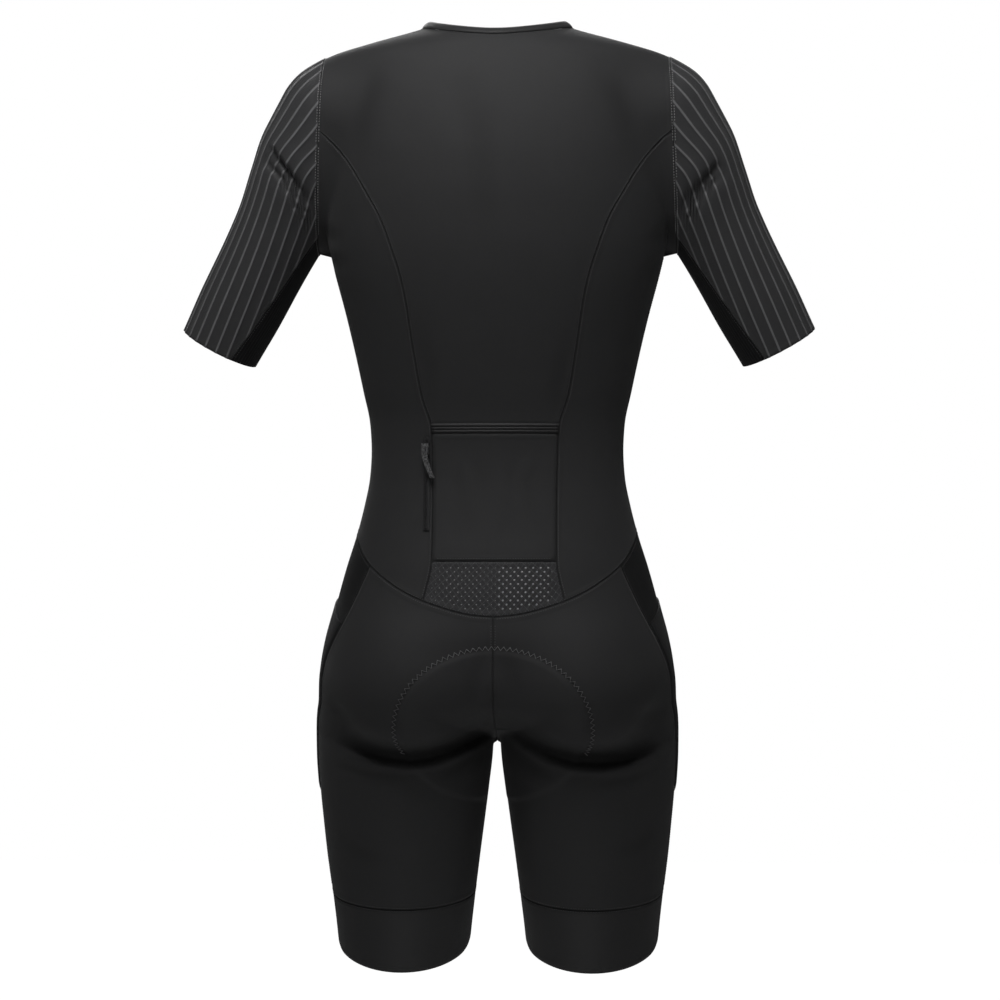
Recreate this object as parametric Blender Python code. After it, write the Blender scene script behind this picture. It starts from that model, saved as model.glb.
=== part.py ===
"""A short-sleeved one-piece cycling suit, open and hollow, in the shape it takes when worn.

Metres, +Z up. The front faces -Y and the wearer's left is +X. The origin lies midway
between the shoulders, at the height where the suit rests on them beside the neck.
"""

import math

import bpy
import numpy as np

# Cloth
CLOTH = 0.0013
BAND_CLOTH = 0.0018
COLLAR_CLOTH = 0.0020
SEAM_GAP = 0.0003
LAYER_GAP = 0.0003

# The general figure that fills the suit: ring tables, one row for each section
TORSO_RINGS = (
    # height, half width, front depth, back depth, squareness
    (-0.647, 0.0001, 0.0001, 0.0001, 2.0),
    (-0.643, 0.006, 0.004, 0.006, 2.0),
    (-0.638, 0.055, 0.028, 0.036, 2.0),
    (-0.631, 0.100, 0.050, 0.064, 2.0),
    (-0.621, 0.136, 0.070, 0.090, 2.1),
    (-0.610, 0.156, 0.083, 0.108, 2.2),
    (-0.585, 0.163, 0.091, 0.116, 2.2),
    (-0.555, 0.160, 0.095, 0.116, 2.2),
    (-0.520, 0.1525, 0.097, 0.108, 2.2),
    (-0.485, 0.1430, 0.096, 0.097, 2.2),
    (-0.455, 0.1335, 0.093, 0.086, 2.2),
    (-0.425, 0.1258, 0.089, 0.078, 2.2),
    (-0.400, 0.1210, 0.087, 0.0735, 2.2),
    (-0.375, 0.1195, 0.086, 0.0720, 2.2),
    (-0.350, 0.1208, 0.087, 0.0735, 2.2),
    (-0.320, 0.1270, 0.090, 0.0790, 2.2),
    (-0.285, 0.1345, 0.096, 0.0865, 2.2),
    (-0.245, 0.1440, 0.105, 0.0940, 2.25),
    (-0.205, 0.1545, 0.113, 0.1000, 2.3),
    (-0.175, 0.1610, 0.116, 0.1025, 2.3),
    (-0.140, 0.1650, 0.114, 0.1030, 2.3),
    (-0.105, 0.1660, 0.106, 0.1010, 2.3),
    (-0.070, 0.1655, 0.093, 0.0955, 2.3),
    (-0.040, 0.1640, 0.079, 0.0880, 2.3),
    (-0.020, 0.1620, 0.069, 0.0815, 2.2),
    (-0.008, 0.1585, 0.064, 0.0765, 2.15),
    (0.0020, 0.1500, 0.060, 0.0715, 2.05),
    (0.0067, 0.1368, 0.058, 0.0690, 1.95),
    (0.0114, 0.1215, 0.056, 0.0655, 1.88),
    (0.0160, 0.1050, 0.0545, 0.0605, 1.80),
    (0.0200, 0.0900, 0.0535, 0.0520, 1.78),
    (0.0240, 0.0750, 0.0525, 0.0460, 1.78),
    (0.0280, 0.0630, 0.0515, 0.0425, 1.80),
    (0.0340, 0.0550, 0.0505, 0.0405, 1.9),
    (0.0600, 0.0530, 0.0500, 0.0400, 2.0),
)
LEG_RINGS = (
    # height, centre x, centre y, half width, half depth
    (-0.900, 0.0895, -0.024, 0.0600, 0.0600),
    (-0.870, 0.0895, -0.021, 0.0615, 0.0620),
    (-0.840, 0.0895, -0.018, 0.0632, 0.0645),
    (-0.800, 0.0893, -0.013, 0.0674, 0.0690),
    (-0.765, 0.0893, -0.009, 0.0718, 0.0735),
    (-0.725, 0.0887, -0.005, 0.0765, 0.0785),
    (-0.690, 0.0880, -0.002, 0.0803, 0.0820),
    (-0.660, 0.0872, 0.000, 0.0828, 0.0840),
    (-0.630, 0.0865, 0.002, 0.0835, 0.0840),
    (-0.600, 0.0850, 0.004, 0.0810, 0.0800),
    (-0.560, 0.0830, 0.005, 0.0650, 0.0620),
    (-0.520, 0.0810, 0.005, 0.0250, 0.0250),
)
ARM_RINGS = (
    # distance from the shoulder, half width, half depth
    (-0.010, 0.0555, 0.0545),
    (0.000, 0.0558, 0.0548),
    (0.040, 0.0562, 0.0545),
    (0.080, 0.0505, 0.0510),
    (0.120, 0.0440, 0.0465),
    (0.160, 0.0418, 0.0445),
    (0.200, 0.0410, 0.0435),
    (0.240, 0.0388, 0.0415),
    (0.280, 0.0370, 0.0400),
)
SHOULDER = np.array((0.1520, 0.004, -0.0600))
CUFF = np.array((0.2685, -0.030, -0.2765))
SEAT_CENTRE = np.array((0.0800, 0.0300, -0.5960))
SEAT_RADII = np.array((0.0720, 0.0930, 0.0790))
SEAT_BLEND = 0.034
LEG_BLEND = 0.010
ARM_BLEND_TOP = 0.022
ARM_BLEND_UNDER = 0.012
ARM_BLEND_HEIGHTS = (-0.150, -0.060)
TABLE_STEP = 0.001
TABLE_BLUR = 0.004
GRADIENT_STEP = 0.0008

# Where each ray that finds the surface starts
BODY_REACH = 0.300
LEG_REACH = 0.190
ARM_REACH = 0.110
CENTRE_START = -0.560

# Seams of the top, for the left side; the right side mirrors them
ARMHOLE_TOP_X = 0.1630
ARMHOLE_LEAN = -0.0400
ARMHOLE_CENTRE = (0.000, -0.090)
PRINCESS_TOP = -0.076
PRINCESS = (
    # height, distance from the centre back
    (-0.513, 0.0650),
    (-0.478, 0.0578),
    (-0.440, 0.0575),
    (-0.400, 0.0578),
    (-0.356, 0.0590),
    (-0.326, 0.0680),
    (-0.289, 0.0745),
    (-0.225, 0.0845),
    (-0.184, 0.0970),
    (-0.158, 0.1070),
    (-0.137, 0.1190),
    (-0.113, 0.1330),
    (-0.095, 0.1460),
    (-0.076, 0.1650),
)
WAIST_SEAM = (
    # degrees from the centre back, height
    (0, -0.5290),
    (12, -0.5270),
    (24, -0.5210),
    (37, -0.5120),
    (50, -0.4990),
    (65, -0.4800),
    (78, -0.4600),
    (90, -0.4500),
    (110, -0.4490),
    (140, -0.4550),
    (180, -0.4640),
)
SIDE_SEAM_TURN = math.radians(-7)
SHOULDER_SEAM_Y = -0.012
NECK_HALF_WIDTH = 0.0712
NECK_BACK = 0.0640
NECK_FRONT = 0.0760
NECK_BACK_STEPS = 5
NECK_FRONT_STEPS = 8
SHOULDER_STEPS = 3
COLLAR_HEIGHT = 0.0066
COLLAR_LEAN = 0.0058
ZIP_HALF = 0.0060
ZIP_TOOTH_RISE = 0.0012
INSERT_TOP = -0.478
POCKET_TOP = -0.350
BINDING_BOTTOM = -0.3595
BINDING_CLOTH = 0.0015
BINDING_RIDGE = 0.0010

# Seams of the legs
LEG_BAND_TOP = -0.7915
LEG_HEM = -0.8395
LEG_TILT = ((-0.700, 0.000), (-0.750, 0.080), (-0.7915, 0.190), (-0.8395, 0.430), (-0.900, 0.500))
SIDE_PANEL = (
    # height, back edge and front edge in degrees about the leg
    (-0.800, 5, -42),
    (-0.700, 8, -45),
    (-0.650, 12, -48),
    (-0.600, 20, -52),
    (-0.575, 27, -54),
    (-0.555, 36, -56),
    (-0.535, 43, -57),
    (-0.510, 49, -59),
    (-0.480, 58, -62),
    (-0.440, 66, -66),
)
SIDE_POCKET_TOP = -0.5150
SIDE_POCKET_BOTTOM = -0.6900

# The pad sewn inside the seat shows as a raised oval with a stitched edge
PAD_CENTRE_Z = -0.6320
PAD_HALF_WIDTH = 0.0910
PAD_HALF_HEIGHT = 0.0750
PAD_RISE = 0.0018
PAD_EDGE = 0.09
PAD_START = 0.020

# Sleeves
SLEEVE_LENGTH = 0.2470
RIB_PITCH = 0.0112
RIB_HALF_BASE = 0.0020
RIB_RISE = 0.0009
RIBS_A_SIDE = 12
RIB_SPREAD = (
    # distance along the arm, radius that spreads the ribs round it
    (-0.030, 0.0420),
    (0.020, 0.0480),
    (0.060, 0.0540),
    (0.090, 0.0510),
    (0.150, 0.0460),
    (0.260, 0.0400),
)
SLEEVE_ROWS = (
    0.00, 0.07, 0.13, 0.18, 0.225, 0.27, 0.315, 0.36, 0.41, 0.47, 0.56, 0.67, 0.78, 0.89, 1.00,
)
SEAM_CLEAR = 0.0012
UNDERARM_SEAM = (
    # distance from the shoulder, back edge and front edge in degrees about the arm
    (0.060, 152, 208),
    (0.100, 146, 214),
    (0.150, 138, 222),
    (0.200, 128, 230),
    (0.250, 118, 236),
)
LEFT_FOLDS = (
    # distance and angle of the inner end, of the outer end, depth, half width
    (0.0780, 118, 0.0560, 42, 0.0026, 0.0085),
)
RIGHT_FOLDS = (
    (0.0850, 126, 0.0640, 54, 0.0028, 0.0085),
)

# Zips; along the tape, across it and away from the cloth
SLIDER_LINES = (-0.0050, -0.0026, -0.0017, 0.0017, 0.0026, 0.0050)
SLIDER_WIDTHS = (-0.0035, -0.0009, 0.0009, 0.0035)
SLIDER_LEVELS = (0.0, 0.0024, 0.0045, 0.0054)
SLIDER_CLEAR = 0.0004
PIVOT_LEVEL = 0.00345
PULL_LENGTH = 0.0270
PULL_WIDTHS = (-0.0028, -0.0018, 0.0018, 0.0028)
PULL_BAR = 0.0005
PULL_WINDOW_END = 0.0040
PULL_HALF_THICK = 0.00055
PULL_STEPS = 6
FRONT_SLIDER_HEIGHT = -0.0420
FRONT_PULL_SWEEP = 0.0
POCKET_SLIDER_HEIGHT = -0.3740
POCKET_PULL_SWEEP = 0.0075
POCKET_ZIP_X = 0.0632
POCKET_ZIP_HALF = 0.0032
POCKET_ZIP_TOP = -0.3625
POCKET_ZIP_BOTTOM = -0.4500

COLOURS = {
    "main": ((0.030, 0.030, 0.031), 0.62),
    "ribbed": ((0.034, 0.034, 0.035), 0.55),
    "mesh": ((0.012, 0.012, 0.013), 0.75),
    "band": ((0.028, 0.028, 0.029), 0.60),
    "dotted": ((0.030, 0.030, 0.031), 0.65),
    "zip": ((0.015, 0.015, 0.016), 0.45),
    "metal": ((0.050, 0.050, 0.052), 0.35),
}


def monotone(xs, ys, at):
    """Values at the given places of the smooth curve through a table, with no overshoot."""
    step = np.diff(xs)
    rise = np.diff(ys) / step
    slope = np.zeros(len(xs))
    product = rise[:-1] * rise[1:]
    total = rise[:-1] + rise[1:]
    same = product > 0
    slope[1:-1][same] = 2 * product[same] / total[same]
    slope[0], slope[-1] = rise[0], rise[-1]
    k = np.clip(np.searchsorted(xs, at) - 1, 0, len(step) - 1)
    t = np.clip((at - xs[k]) / step[k], 0, 1)
    start, end = ys[k], ys[k + 1]
    bend = t * t * (3 - 2 * t)
    return (
        start + (end - start) * bend
        + step[k] * (slope[k] * t * (1 - t) ** 2 - slope[k + 1] * t * t * (1 - t))
    )


def curve_of(rows, column, step=TABLE_STEP, blur=TABLE_BLUR):
    """One column of a table as a softened curve of the table's first column."""
    table = np.array(rows, float)
    table = table[np.argsort(table[:, 0])]
    fine = np.arange(table[0, 0], table[-1, 0] + step, step)
    values = monotone(table[:, 0], table[:, column], fine)
    reach_steps = int(round(3 * blur / step))
    weights = np.exp(-0.5 * (np.arange(-reach_steps, reach_steps + 1) * step / blur) ** 2)
    padded = np.pad(values, reach_steps, mode="edge")
    return fine, np.convolve(padded, weights / weights.sum(), mode="valid")


def curves_of(rows, **how):
    return [curve_of(rows, column, **how) for column in range(1, len(rows[0]))]


TORSO = curves_of(TORSO_RINGS)
LEG = curves_of(LEG_RINGS)
ARM = curves_of(ARM_RINGS)
PRINCESS_LINE = curve_of(PRINCESS, 1)
WAIST_LINE = curve_of(WAIST_SEAM, 1, step=1.0, blur=4.0)
TILT_LINE = curve_of(LEG_TILT, 1)
SIDE_LINES = curves_of(SIDE_PANEL, blur=0.008)
UNDERARM_LINES = curves_of(UNDERARM_SEAM)

ARM_AXIS = (CUFF - SHOULDER) / np.linalg.norm(CUFF - SHOULDER)
ARM_OUT = np.array((-ARM_AXIS[2], 0.0, ARM_AXIS[0]))
ARM_OUT = ARM_OUT / np.linalg.norm(ARM_OUT)
ARM_BACK = np.cross(ARM_AXIS, ARM_OUT)
ARM_BACK = ARM_BACK * np.sign(ARM_BACK[1])


def ring_distance(across, along, half_across, half_along, squareness=2.0):
    """How far points lie outside a ring, measured from its centre."""
    far = np.maximum(np.hypot(across, along), 1e-7)
    share = (
        (np.abs(across) / half_across) ** squareness + (np.abs(along) / half_along) ** squareness
    ) ** (1 / squareness)
    return far - far / np.maximum(share, far / np.maximum(half_across, half_along))


def smooth_union(a, b, blend):
    near = np.maximum(blend - np.abs(a - b), 0) / blend
    return np.minimum(a, b) - near * near * blend / 4


def torso_distance(x, y, z):
    half, front, back, squareness = (np.interp(z, *line) for line in TORSO)
    past_end = np.maximum(TORSO_RINGS[1][0] - z, 0)
    return ring_distance(x, y, half, np.where(y > 0, back, front), squareness) + past_end


def leg_distance(x, y, z):
    centre_x, centre_y, half, depth = (np.interp(z, *line) for line in LEG)
    past_end = np.maximum(z - LEG_RINGS[-1][0], 0)
    return ring_distance(x - centre_x, y - centre_y, half, depth, 2.1) + past_end


def seat_distance(x, y, z):
    offset = np.stack((x, y, z), -1) - SEAT_CENTRE
    far = np.maximum(np.linalg.norm(offset, axis=-1), 1e-7)
    share = np.linalg.norm(offset / SEAT_RADII, axis=-1)
    return far - far / np.maximum(share, far / SEAT_RADII.max())


def arm_distance(x, y, z):
    offset = np.stack((x, y, z), -1) - SHOULDER
    along = offset @ ARM_AXIS
    past_end = np.minimum(along, 0)
    half, depth = (np.interp(along, *line) for line in ARM)
    out, back = offset @ ARM_OUT, offset @ ARM_BACK
    far = np.maximum(np.sqrt(out**2 + back**2 + past_end**2), 1e-7)
    share = np.sqrt((out / half) ** 2 + (back / depth) ** 2 + (past_end / half) ** 2)
    return far - far / np.maximum(share, far / np.maximum(half, depth))


def form(points):
    """Below zero inside the filled suit, zero on its cloth."""
    x, y, z = np.abs(points[..., 0]), points[..., 1], points[..., 2]
    body = smooth_union(torso_distance(x, y, z), seat_distance(x, y, z), SEAT_BLEND)
    body = smooth_union(body, leg_distance(x, y, z), LEG_BLEND)
    blend = np.interp(z, ARM_BLEND_HEIGHTS, (ARM_BLEND_UNDER, ARM_BLEND_TOP))
    return smooth_union(body, arm_distance(x, y, z), blend)


def reach(origin, direction, furthest, steps=40, halvings=24):
    """The point where each ray first leaves the form."""
    origin, direction = np.broadcast_arrays(origin, direction)
    low, high = np.zeros(origin.shape[:-1]), np.full(origin.shape[:-1], furthest)
    found = np.zeros(origin.shape[:-1], bool)
    for step in range(steps):
        near, far = furthest * step / steps, furthest * (step + 1) / steps
        leaves = ~found & (form(origin + far * direction) > 0)
        low, high = np.where(leaves, near, low), np.where(leaves, far, high)
        found |= leaves
    for _ in range(halvings):
        middle = (low + high) / 2
        outside = form(origin + middle[..., None] * direction) > 0
        low, high = np.where(outside, low, middle), np.where(outside, middle, high)
    return origin + ((low + high) / 2)[..., None] * direction


def slopes_of(points):
    """How fast the form's value grows along each axis."""
    steps = GRADIENT_STEP * np.eye(3)
    return np.stack([form(points + a) - form(points - a) for a in steps], -1) / (2 * GRADIENT_STEP)


def normals_of(points):
    """Outward directions of the form at points on it."""
    return unit(slopes_of(points))


def settle(points, rounds=20):
    """Points moved along the form's slope until they lie on it."""
    for _ in range(rounds):
        slope = slopes_of(points)
        steepness = np.maximum((slope**2).sum(-1), 0.25)
        step = slope * (form(points) / steepness)[..., None]
        length = np.linalg.norm(step, axis=-1, keepdims=True)
        points = points - step * np.minimum(1, 0.01 / np.maximum(length, 1e-9))
    return points


def body_point(turn, height):
    """Cloth at an angle about the torso and a height."""
    origin = np.stack((0 * height, 0 * height, height), -1)
    direction = np.stack((np.cos(turn), np.sin(turn), 0 * turn), -1)
    return reach(origin, direction, BODY_REACH)


def leg_tilt(height):
    return np.interp(height, *TILT_LINE)


def leg_centre(height):
    return np.interp(height, *LEG[0]), np.interp(height, *LEG[1])


def leg_point(turn, height):
    """Cloth at an angle about the left leg, on rings that tilt down at the back near the hem."""
    centre_x, centre_y = leg_centre(height)
    origin = np.stack((centre_x, centre_y, height), -1)
    direction = np.stack((np.cos(turn), np.sin(turn), -leg_tilt(height) * np.sin(turn)), -1)
    points = reach(origin, direction, LEG_REACH)
    past = points[..., 0] < 0
    share = centre_x / np.maximum(centre_x - points[..., 0], 1e-9)
    at_middle = origin + (points - origin) * share[..., None]
    return np.where(past[..., None], at_middle, points)


def leg_place(points):
    height = points[..., 2]
    for _ in range(8):
        height = points[..., 2] + leg_tilt(height) * (points[..., 1] - leg_centre(height)[1])
    centre_x, centre_y = leg_centre(height)
    turn = np.arctan2(points[..., 1] - centre_y, points[..., 0] - centre_x)
    return np.stack((turn, height), -1)


def arm_point(turn, distance):
    """Cloth at an angle about the left arm: 0 outwards, 90 degrees to the back."""
    origin = SHOULDER + distance[..., None] * ARM_AXIS
    direction = np.cos(turn)[..., None] * ARM_OUT + np.sin(turn)[..., None] * ARM_BACK
    return reach(origin, direction, ARM_REACH)


def arm_place(points):
    offset = points - SHOULDER
    return np.arctan2(offset @ ARM_BACK, offset @ ARM_OUT), offset @ ARM_AXIS


def behind(x, z):
    """Cloth of the back at a width and height."""
    origin = np.stack((x, 0 * x, z), -1)
    return reach(origin, np.array((0.0, 1.0, 0.0)), 0.2)


def ahead(x, z):
    origin = np.stack((x, 0 * x, z), -1)
    return reach(origin, np.array((0.0, -1.0, 0.0)), 0.2)


def above(x, y, start=-0.12):
    origin = np.stack((x, y, 0 * x + start), -1)
    return reach(origin, np.array((0.0, 0.0, 1.0)), 0.25)


# Seam lines
def armhole(turn):
    """The armhole at an angle in its own plane: 90 degrees at the top, 0 at the back."""
    y0, z0 = ARMHOLE_CENTRE
    low, high = np.full(turn.shape, 0.02), np.full(turn.shape, 0.13)
    steps = np.linspace(0.02, 0.13, 60)
    found = np.zeros(turn.shape, bool)

    def place(radius):
        z = z0 + radius * np.sin(turn)
        return np.stack((ARMHOLE_TOP_X + ARMHOLE_LEAN * z, y0 + radius * np.cos(turn), z), -1)

    for near, far in zip(steps[:-1], steps[1:]):
        leaves = ~found & (form(place(far)) > 0)
        low, high = np.where(leaves, near, low), np.where(leaves, far, high)
        found |= leaves
    for _ in range(24):
        middle = (low + high) / 2
        outside = form(place(middle)) > 0
        low, high = np.where(outside, low, middle), np.where(outside, middle, high)
    return place((low + high) / 2)


def turn_where(value, line, turns):
    """The angle at which a function of the armhole angle reaches a value."""
    values = line(turns)
    order = np.argsort(values)
    return float(np.interp(value, values[order], turns[order]))


BACK_TURNS = np.linspace(-math.pi / 2, math.pi / 2, 361)
PRINCESS_TURN = turn_where(PRINCESS_TOP, lambda t: armhole(t)[:, 2], BACK_TURNS)
SHOULDER_TURN = turn_where(
    -SHOULDER_SEAM_Y, lambda t: -armhole(t)[:, 1], np.linspace(math.pi / 3, 2 * math.pi / 3, 241)
)
LOW_TURNS = np.linspace(-2.2, -1.0, 241)
ARMPIT_TURN = float(LOW_TURNS[np.argmin(armhole(LOW_TURNS)[:, 2])])


def armhole_stretch(start, end, count):
    return armhole(np.linspace(start, end, count + 1))


def princess(heights):
    return behind(np.interp(heights, *PRINCESS_LINE), heights)


def waist_point(degrees):
    """The waist seam at an angle from the centre back, on the left side."""
    turn = math.pi / 2 - np.radians(degrees)
    return body_point(turn, np.interp(degrees, *WAIST_LINE))


def neck_point(degrees):
    """The seam of the collar band at an angle from the centre back, on the left side."""
    angle = np.radians(degrees)
    depth = np.where(np.cos(angle) > 0, NECK_BACK, NECK_FRONT)
    return above(NECK_HALF_WIDTH * np.sin(angle), depth * np.cos(angle))


def shoulder_seam(count):
    """From the neck out to the armhole, a little in front of the ridge."""
    neck = neck_point(np.array(NECK_SIDE))
    tip = armhole(np.array(SHOULDER_TURN))
    share = np.linspace(0, 1, count + 1)
    x = neck[0] + (tip[0] - neck[0]) * share
    y = neck[1] + (tip[1] - neck[1]) * share
    line = above(x, y)
    line[0], line[-1] = neck, tip
    return line


def centre_point(turn):
    """The middle seam of the shorts at an angle below the horizontal, from back to front."""
    origin = np.stack((0 * turn, 0 * turn, 0 * turn + CENTRE_START), -1)
    direction = np.stack((0 * turn, np.cos(turn), -np.sin(turn)), -1)
    return reach(origin, direction, 0.2)


NECK_SIDE = 90 + math.degrees(math.asin(-SHOULDER_SEAM_Y / NECK_FRONT))
NECK_END = 180 - math.degrees(math.asin((ZIP_HALF + SEAM_GAP / 2) / NECK_HALF_WIDTH))


def angle_where(value, line, angles):
    values = line(angles)
    order = np.argsort(values)
    return float(np.interp(value, values[order], angles[order]))


# Corners along the waist seam, in degrees from the centre back
FINE_BACK = np.linspace(0, 90, 181)
INSERT_CORNER = angle_where(PRINCESS[0][1], lambda a: waist_point(a)[:, 0], FINE_BACK[:140])
SIDE_TOP = 90 - math.degrees(SIDE_SEAM_TURN)


def side_panel_gap(degrees, edge):
    """How far the waist seam is from an edge of the side panel, in turns about the leg."""
    place = leg_place(waist_point(degrees))
    return place[:, 0] - np.radians(np.interp(place[:, 1], *SIDE_LINES[edge]))


SIDE_BACK_CORNER = angle_where(0.0, lambda a: -side_panel_gap(a, 0), np.linspace(45, 85, 81))
SIDE_FRONT_CORNER = angle_where(0.0, lambda a: -side_panel_gap(a, 1), np.linspace(95, 165, 141))
ZIP_CORNER = angle_where(
    -(ZIP_HALF + SEAM_GAP / 2), lambda a: -waist_point(a)[:, 0], np.linspace(150, 180, 121)
)
WAIST_STEPS = (
    (0.0, INSERT_CORNER, 5),
    (INSERT_CORNER, SIDE_BACK_CORNER, 4),
    (SIDE_BACK_CORNER, SIDE_TOP, 3),
    (SIDE_TOP, SIDE_FRONT_CORNER, 3),
    (SIDE_FRONT_CORNER, ZIP_CORNER, NECK_FRONT_STEPS + SHOULDER_STEPS - 3),
)


def waist_stretch(first, last):
    """The waist seam from the first to the last of its corners."""
    chosen = WAIST_STEPS[first:last]
    angles = [np.linspace(a, b, n + 1)[:-1] for a, b, n in chosen]
    return waist_point(np.append(np.concatenate(angles), chosen[-1][1]))


# Grids of cloth
def coons(bottom, top, left, right):
    """A grid of places inside four edges that share their corners; rows run bottom to top."""
    u = np.linspace(0, 1, len(bottom))[None, :, None]
    v = np.linspace(0, 1, len(left))[:, None, None]
    across = (1 - v) * bottom[None] + v * top[None]
    along = (1 - u) * left[:, None] + u * right[:, None]
    corners = (
        (1 - u) * (1 - v) * bottom[0] + u * (1 - v) * bottom[-1]
        + (1 - u) * v * top[0] + u * v * top[-1]
    )
    return across + along - corners


def unit(vectors):
    return vectors / np.maximum(np.linalg.norm(vectors, axis=-1, keepdims=True), 1e-12)


def rim_of(rows, columns):
    """The places round the edge of a grid, in order."""
    around = [(0, j) for j in range(columns - 1)] + [(i, columns - 1) for i in range(rows - 1)]
    around += [(rows - 1, j) for j in range(columns - 1, 0, -1)] + [(i, 0) for i in range(rows - 1, 0, -1)]
    return tuple(np.array(around).T)


def draw_in(grid, gap=SEAM_GAP / 2):
    """The grid with its edge moved in by half a seam gap, square to each stretch of it."""
    rim = rim_of(*grid.shape[:2])
    edge = grid[rim]
    following = np.roll(edge, -1, 0)
    after = unit(np.cross(normals_of((edge + following) / 2), following - edge))
    before = np.roll(after, 1, 0)
    beside = grid[tuple(np.clip(k, 1, n - 2) for k, n in zip(rim, grid.shape))]
    way = np.sign(((before + after) * (beside - edge)).sum())
    mitre = (before + after) / np.maximum(1 + (before * after).sum(-1, keepdims=True), 0.3)
    moved = grid.copy()
    moved[rim] += way * gap * mitre
    return moved


def patch(bottom, top, left, right, rounds=40):
    """Cloth inside four edges, which it keeps, with its cells evened out."""
    grid = settle(coons(bottom, top, left, right))
    for _ in range(rounds):
        grid[0], grid[-1], grid[:, 0], grid[:, -1] = bottom, top, left, right
        beside = grid[1:-1, :-2] + grid[1:-1, 2:]
        middle = (beside + grid[:-2, 1:-1] + grid[2:, 1:-1]) / 4
        grid[1:-1, 1:-1] = settle(middle, 2)
    return grid


def material(slot):
    """The slot's plain material, made once."""
    if slot in bpy.data.materials:
        return bpy.data.materials[slot]
    colour, roughness = COLOURS[slot]
    made = bpy.data.materials.new(slot)
    made.use_nodes = True
    shader = made.node_tree.nodes["Principled BSDF"]
    shader.inputs["Base Color"].default_value = (*colour, 1)
    shader.inputs["Roughness"].default_value = roughness
    return made


def facing_out(points, faces):
    """The faces, all turned round if the solid they close is inside out."""
    volume = 0.0
    for face in faces:
        first = points[face[0]]
        for b, c in zip(face[1:-1], face[2:]):
            volume += np.dot(first, np.cross(points[b], points[c]))
    return faces if volume > 0 else [face[::-1] for face in faces]


def add_object(name, points, faces, slot, origin=None):
    points = np.asarray(points, float)
    mesh = bpy.data.meshes.new(name)
    start = np.zeros(3) if origin is None else origin
    local = [tuple(map(float, p - start)) for p in points]
    mesh.from_pydata(local, [], facing_out(points, faces))
    mesh.materials.append(material(slot))
    mesh.shade_smooth()
    mesh.set_sharp_from_angle(angle=math.radians(35))
    made = bpy.data.objects.new(name, mesh)
    made.location = tuple(map(float, start))
    bpy.context.scene.collection.objects.link(made)
    return made


def wall(name, outer, inner, slot):
    """A closed wall between an outer and an inner grid of the same size."""
    rows, columns = outer.shape[:2]
    count = rows * columns
    index = np.arange(count).reshape(rows, columns)
    faces = []
    for i in range(rows - 1):
        for j in range(columns - 1):
            a, b, c, d = index[i, j], index[i, j + 1], index[i + 1, j + 1], index[i + 1, j]
            for outside in ((a, b, c), (a, c, d)):
                faces += [outside, tuple(count + v for v in outside[::-1])]
    rim = [*index[0, :-1], *index[:-1, -1], *index[-1, :0:-1], *index[:0:-1, 0]]
    points = np.concatenate((outer.reshape(-1, 3), inner.reshape(-1, 3)))
    for a, b in zip(rim, rim[1:] + rim[:1]):
        quad = (b, a, count + a, count + b)
        one, other = (np.linalg.norm(points[quad[k]] - points[quad[k + 2]]) for k in (0, 1))
        turned = quad if one < other else quad[1:] + quad[:1]
        faces += [turned[:3], (turned[0], turned[2], turned[3])]
    faces = [tuple(int(v) for v in face) for face in faces]
    return add_object(name, points, faces, slot)


MIRROR = np.array((-1.0, 1.0, 1.0))


def pair(stem, outer, inner, slot):
    """A left piece and its mirrored right piece."""
    wall(f"{stem}_left", outer, inner, slot)
    wall(f"{stem}_right", outer * MIRROR, inner * MIRROR, slot)


def thick(grid, cloth=CLOTH, relief=0.0, side=-1):
    """Outer and inner grids of a panel; relief lifts the outer points only."""
    normal, edged = meet_armhole(grid, normals_of(grid), draw_in(grid), side)
    return edged + normal * np.asarray(relief)[..., None], edged - normal * cloth


def from_armhole(points):
    """Signed distance from the plane of the armhole seam, positive on the sleeve's side."""
    across = unit(np.array((1.0, 0.0, -ARMHOLE_LEAN)))
    return points @ across - ARMHOLE_TOP_X * across[0]


def meet_armhole(grid, normal, edged, side):
    """At the armhole, wall directions in its plane and edges half a seam gap from it."""
    across = unit(np.array((1.0, 0.0, -ARMHOLE_LEAN)))
    on_seam = (np.abs(from_armhole(grid)) < SEAM_GAP / 4)[..., None]
    flat = unit(normal - (normal @ across)[..., None] * across)
    square = edged + (side * SEAM_GAP / 2 - from_armhole(edged))[..., None] * across
    return np.where(on_seam, flat, normal), np.where(on_seam, square, edged)


def pad_rise(points):
    """How far the pad lifts the seat cloth."""
    across = points[..., 0] / PAD_HALF_WIDTH
    up = (points[..., 2] - PAD_CENTRE_Z) / PAD_HALF_HEIGHT
    inside = (1 - np.hypot(across, up)) / PAD_EDGE
    share = np.clip(inside, 0, 1)
    behind_seam = np.clip(points[..., 1] / PAD_START, 0, 1)
    return PAD_RISE * share * share * (3 - 2 * share) * behind_seam


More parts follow.
